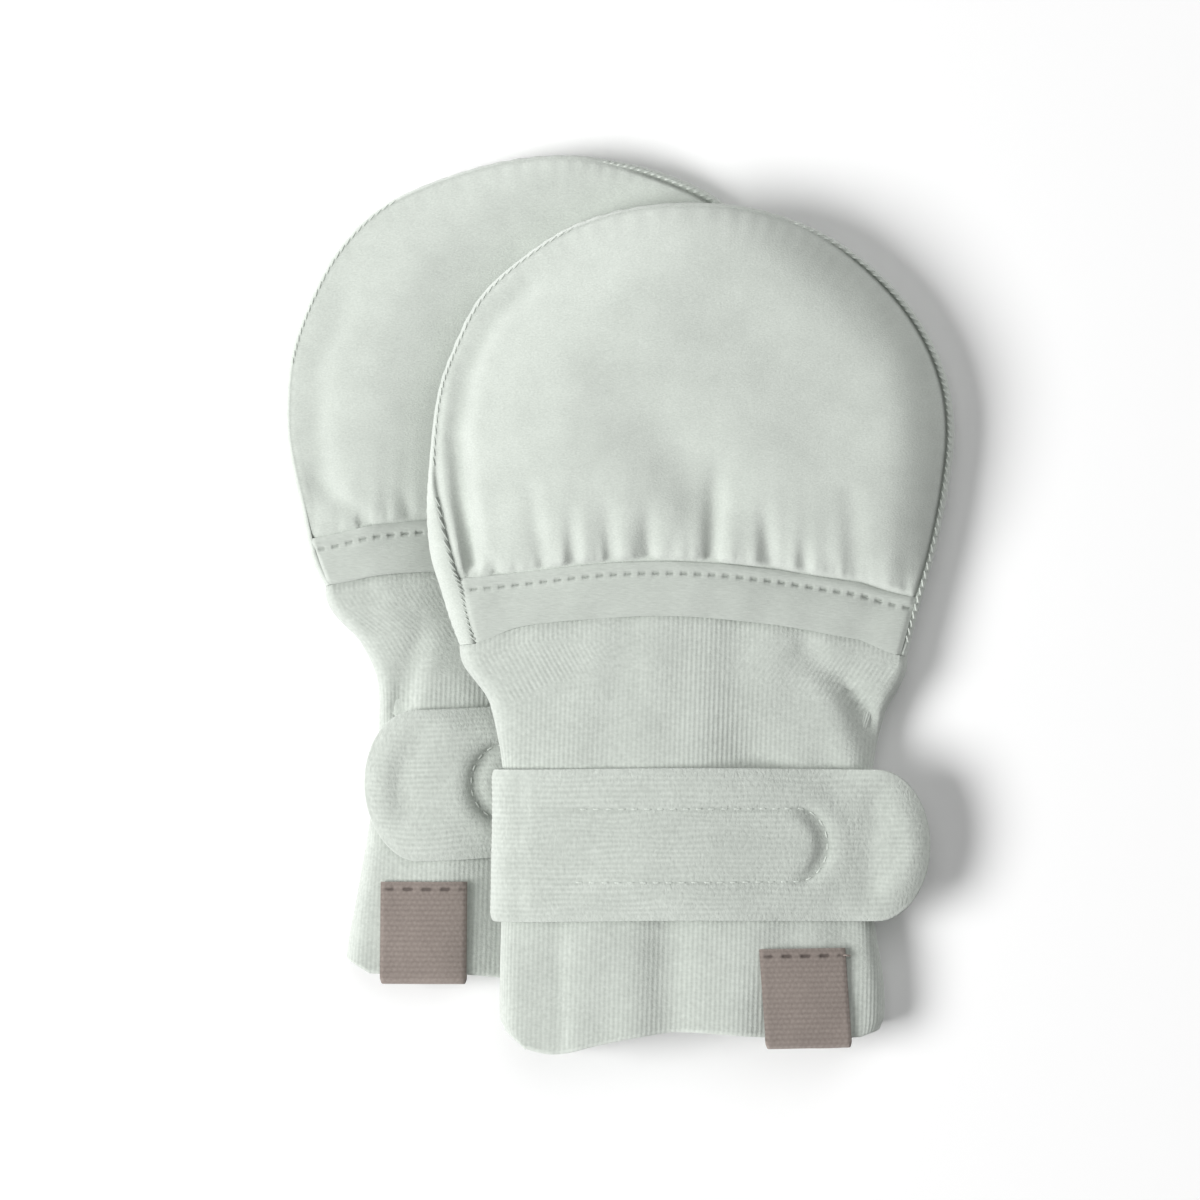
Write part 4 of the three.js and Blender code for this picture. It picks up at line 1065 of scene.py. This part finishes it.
THREADS = [
    (band_stitches(REAR), "binding"),
    (band_stitches(FRONT), "binding"),
    (patch_stitches(REAR), "strap_knit"),
    (patch_stitches(FRONT), "strap_knit"),
    (rim_stitches(FRONT, "rim_right", 0.60, 0.985, 1.45, (46, 82), 0.15), "jersey"),
    (rim_stitches(FRONT, "rim_wrist", 0.01, 0.20, 2.3, (74, 89), 0.09), "jersey"),
    (rim_stitches(REAR, "rim_right", 0.54, 0.72, 1.45, (46, 82), 0.15), "jersey"),
    (rim_stitches(FRONT, "rim_left", 0.23, 0.45, 1.5, (66, 87), 0.10), "jersey"),
    (rim_stitches(REAR, "rim_left", 0.22, 0.38, 1.5, (66, 87), 0.10), "jersey"),
    (label_thread(FRONT), "rib"),
]
for obj, slot in THREADS:
    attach(obj, "root")
for node, obj in pieces.items():
    name, piece = node.split("_")
    rests_on = [f"{name}_{under}" for under in UNDER[piece]]
    if node in ("front_back", "front_cuff"):
        rests_on += [f"rear_{under}" for under in ("palm", "band", "cuff", "strap")]


def linear(red, green, blue):
    """Linear colour from 0 to 255 steps of the screen."""
    steps = [c / 255 for c in (red, green, blue)]
    return tuple(c / 12.92 if c < 0.04045 else ((c + 0.055) / 1.055) ** 2.4 for c in steps) + (1.0,)


def cloth(name, colour, shade, stretch, turn, roughness, sheen, depth):
    """Cloth material. stretch gives the grain of the yarn in pieces a metre, turned by turn degrees."""
    material = bpy.data.materials.new(name)
    material.use_nodes = True
    nodes, links = material.node_tree.nodes, material.node_tree.links
    shader = nodes["Principled BSDF"]
    shader.inputs["Roughness"].default_value = roughness
    shader.inputs["Sheen Weight"].default_value = sheen
    shader.inputs["Sheen Roughness"].default_value = 0.5
    shader.inputs["Specular IOR Level"].default_value = 0.15
    shader.inputs["Diffuse Roughness"].default_value = 1.0
    place = nodes.new("ShaderNodeTexCoord")
    mapping = nodes.new("ShaderNodeMapping")
    mapping.inputs["Rotation"].default_value = (0, 0, math.radians(turn))
    mapping.inputs["Scale"].default_value = stretch
    links.new(place.outputs["Object"], mapping.inputs["Vector"])
    yarn = nodes.new("ShaderNodeTexNoise")
    yarn.inputs["Scale"].default_value = 1
    yarn.inputs["Detail"].default_value = 2
    links.new(mapping.outputs["Vector"], yarn.inputs["Vector"])
    fuzz = nodes.new("ShaderNodeTexNoise")
    fuzz.inputs["Scale"].default_value = 4200
    fuzz.inputs["Detail"].default_value = 2
    uneven = nodes.new("ShaderNodeTexNoise")
    uneven.inputs["Scale"].default_value = 170
    uneven.inputs["Detail"].default_value = 4
    for node in (fuzz, uneven):
        links.new(place.outputs["Object"], node.inputs["Vector"])
    tint = nodes.new("ShaderNodeAttribute")
    tint.attribute_name = "tint"

    def combine(operation, first, second, third=None):
        node = nodes.new("ShaderNodeMath")
        node.operation = operation
        for k, value in enumerate((first, second, third)):
            if isinstance(value, (int, float)):
                node.inputs[k].default_value = value
            elif value is not None:
                links.new(value, node.inputs[k])
        return node.outputs[0]

    # The colour mixes towards the shade colour by the painted shade attribute and by the yarn's random tone.
    patches = combine("MULTIPLY", uneven.outputs["Fac"], 0.3)
    speck = combine("MULTIPLY_ADD", yarn.outputs["Fac"], 0.5, patches)
    dark = combine("MULTIPLY_ADD", tint.outputs["Fac"], 0.8, combine("SUBTRACT", speck, 0.25))
    mix = nodes.new("ShaderNodeMixRGB")
    mix.inputs["Color1"].default_value = colour
    mix.inputs["Color2"].default_value = shade
    mix.use_clamp = True
    links.new(dark, mix.inputs["Fac"])
    links.new(mix.outputs[0], shader.inputs["Base Color"])
    bump = nodes.new("ShaderNodeBump")
    bump.inputs["Distance"].default_value = depth * MM
    links.new(combine("MULTIPLY_ADD", fuzz.outputs["Fac"], 0.5, yarn.outputs["Fac"]), bump.inputs["Height"])
    links.new(bump.outputs["Normal"], shader.inputs["Normal"])
    return material


# Each shade colour is the darker end that painted shade and the yarn's random tone mix towards.
SAGE = linear(220, 225, 219)
SAGE_SHADE = linear(158, 164, 157)
# The binding's sage, a little darker as painted shade for its recessed, downward-facing surface.
BINDING_WITH_PAINTED_SHADE = linear(212, 217, 211)
THREAD = linear(224, 229, 223)
# Painted shade: the band's threads get a darker sage for the shade of the pockets they lie in.
THREAD_IN_PAINTED_SHADE = linear(176, 182, 175)
HOOKS = linear(222, 226, 221)
TAPE = linear(174, 163, 156)
TAPE_SHADE = linear(112, 103, 98)
# Name, colour, shade, grain, turn of the grain, roughness, sheen and depth of the bumps in millimetres
CLOTHS = {
    "jersey": ("fine_jersey", SAGE, SAGE_SHADE, (2400, 5000, 2400), 8, 0.95, 0.12, 0.07),
    "binding": ("bias_binding", BINDING_WITH_PAINTED_SHADE, SAGE_SHADE, (900, 5200, 900), 48, 0.92, 0.1, 0.07),
    "rib": ("rib_knit", SAGE, SAGE_SHADE, (1300, 1900, 1300), 0, 0.95, 0.12, 0.10),
    "strap_knit": ("strap_knit", SAGE, SAGE_SHADE, (1900, 1250, 1300), 0, 0.95, 0.12, 0.16),
    "thread": ("sewing_thread", THREAD, SAGE_SHADE, (3000, 3000, 3000), 0, 0.6, 0.0, 0.03),
    "sunk_thread": ("sunk_thread", THREAD_IN_PAINTED_SHADE, SAGE_SHADE, (3000, 3000, 3000), 0, 0.7, 0.0, 0.03),
    "hook_tape": ("hook_tape", HOOKS, SAGE, (1200, 1200, 1200), 0, 0.7, 0.1, 0.12),
    "label_tape": ("label_weave", TAPE, TAPE_SHADE, (2400, 2400, 2400), 0, 0.85, 0.05, 0.06),
}
MATERIALS = {kind: cloth(*values) for kind, values in CLOTHS.items()}
for node, obj in pieces.items():
    obj.data.materials.append(MATERIALS[SLOTS[node.split("_")[1]]])
for obj, slot in THREADS:
    kind = {"band": "sunk_thread", "label": "label_tape"}.get(obj.name.split("_")[1], "thread")
    obj.data.materials.append(MATERIALS[kind])

# Floor, light and camera
floor_reach = 3.0
floor_white = 0.95
world_light = 0.13
floor_mesh = bpy.data.meshes.new("floor")
corners = [(x * floor_reach, y * floor_reach, 0) for x, y in ((-1, -1), (1, -1), (1, 1), (-1, 1))]
floor_mesh.from_pydata(corners, [], [(0, 1, 2, 3)])
floor = bpy.data.objects.new("floor", floor_mesh)
bpy.context.scene.collection.objects.link(floor)
floor.location.z = -0.0002
white = bpy.data.materials.new("white_floor")
white.use_nodes = True
shader = white.node_tree.nodes["Principled BSDF"]
shader.inputs["Base Color"].default_value = (floor_white, floor_white, floor_white, 1)
shader.inputs["Roughness"].default_value = 0.9
floor_mesh.materials.append(white)

world = bpy.data.worlds.new("studio")
bpy.context.scene.world = world
world.use_nodes = True
background = world.node_tree.nodes["Background"]
background.inputs["Color"].default_value = (1, 1, 1, 1)
background.inputs["Strength"].default_value = world_light


def area_light(name, place, size, power):
    light = bpy.data.lights.new(name, "AREA")
    light.shape = "DISK"
    light.size = size
    light.energy = power
    obj = bpy.data.objects.new(name, light)
    obj.location = place
    towards = np.array([0, 0, 0.01]) - np.array(place)
    obj.rotation_euler = (math.atan2(math.hypot(towards[0], towards[1]), -towards[2]), 0,
                          math.atan2(towards[1], towards[0]) - math.pi / 2)
    bpy.context.scene.collection.objects.link(obj)


area_light("key", (-1.07, -0.24, 1.14), 0.85, 26.6)
area_light("top", (0.12, 0.45, 1.4), 1.2, 5.6)
area_light("graze", (0.9, 1.2, 0.3), 0.6, 3.5)

bpy.context.scene.view_settings.view_transform = "Standard"
camera_height = 1.2
photo_width = 0.198
middle_height = 0.010
camera_data = bpy.data.cameras.new("camera")
camera_data.sensor_width = 36
camera_data.lens = 36 * camera_height / photo_width
camera = bpy.data.objects.new("camera", camera_data)
camera.location = (SHIFT[0] * MM, SHIFT[1] * MM, camera_height + middle_height)
bpy.context.scene.collection.objects.link(camera)
bpy.context.scene.camera = camera
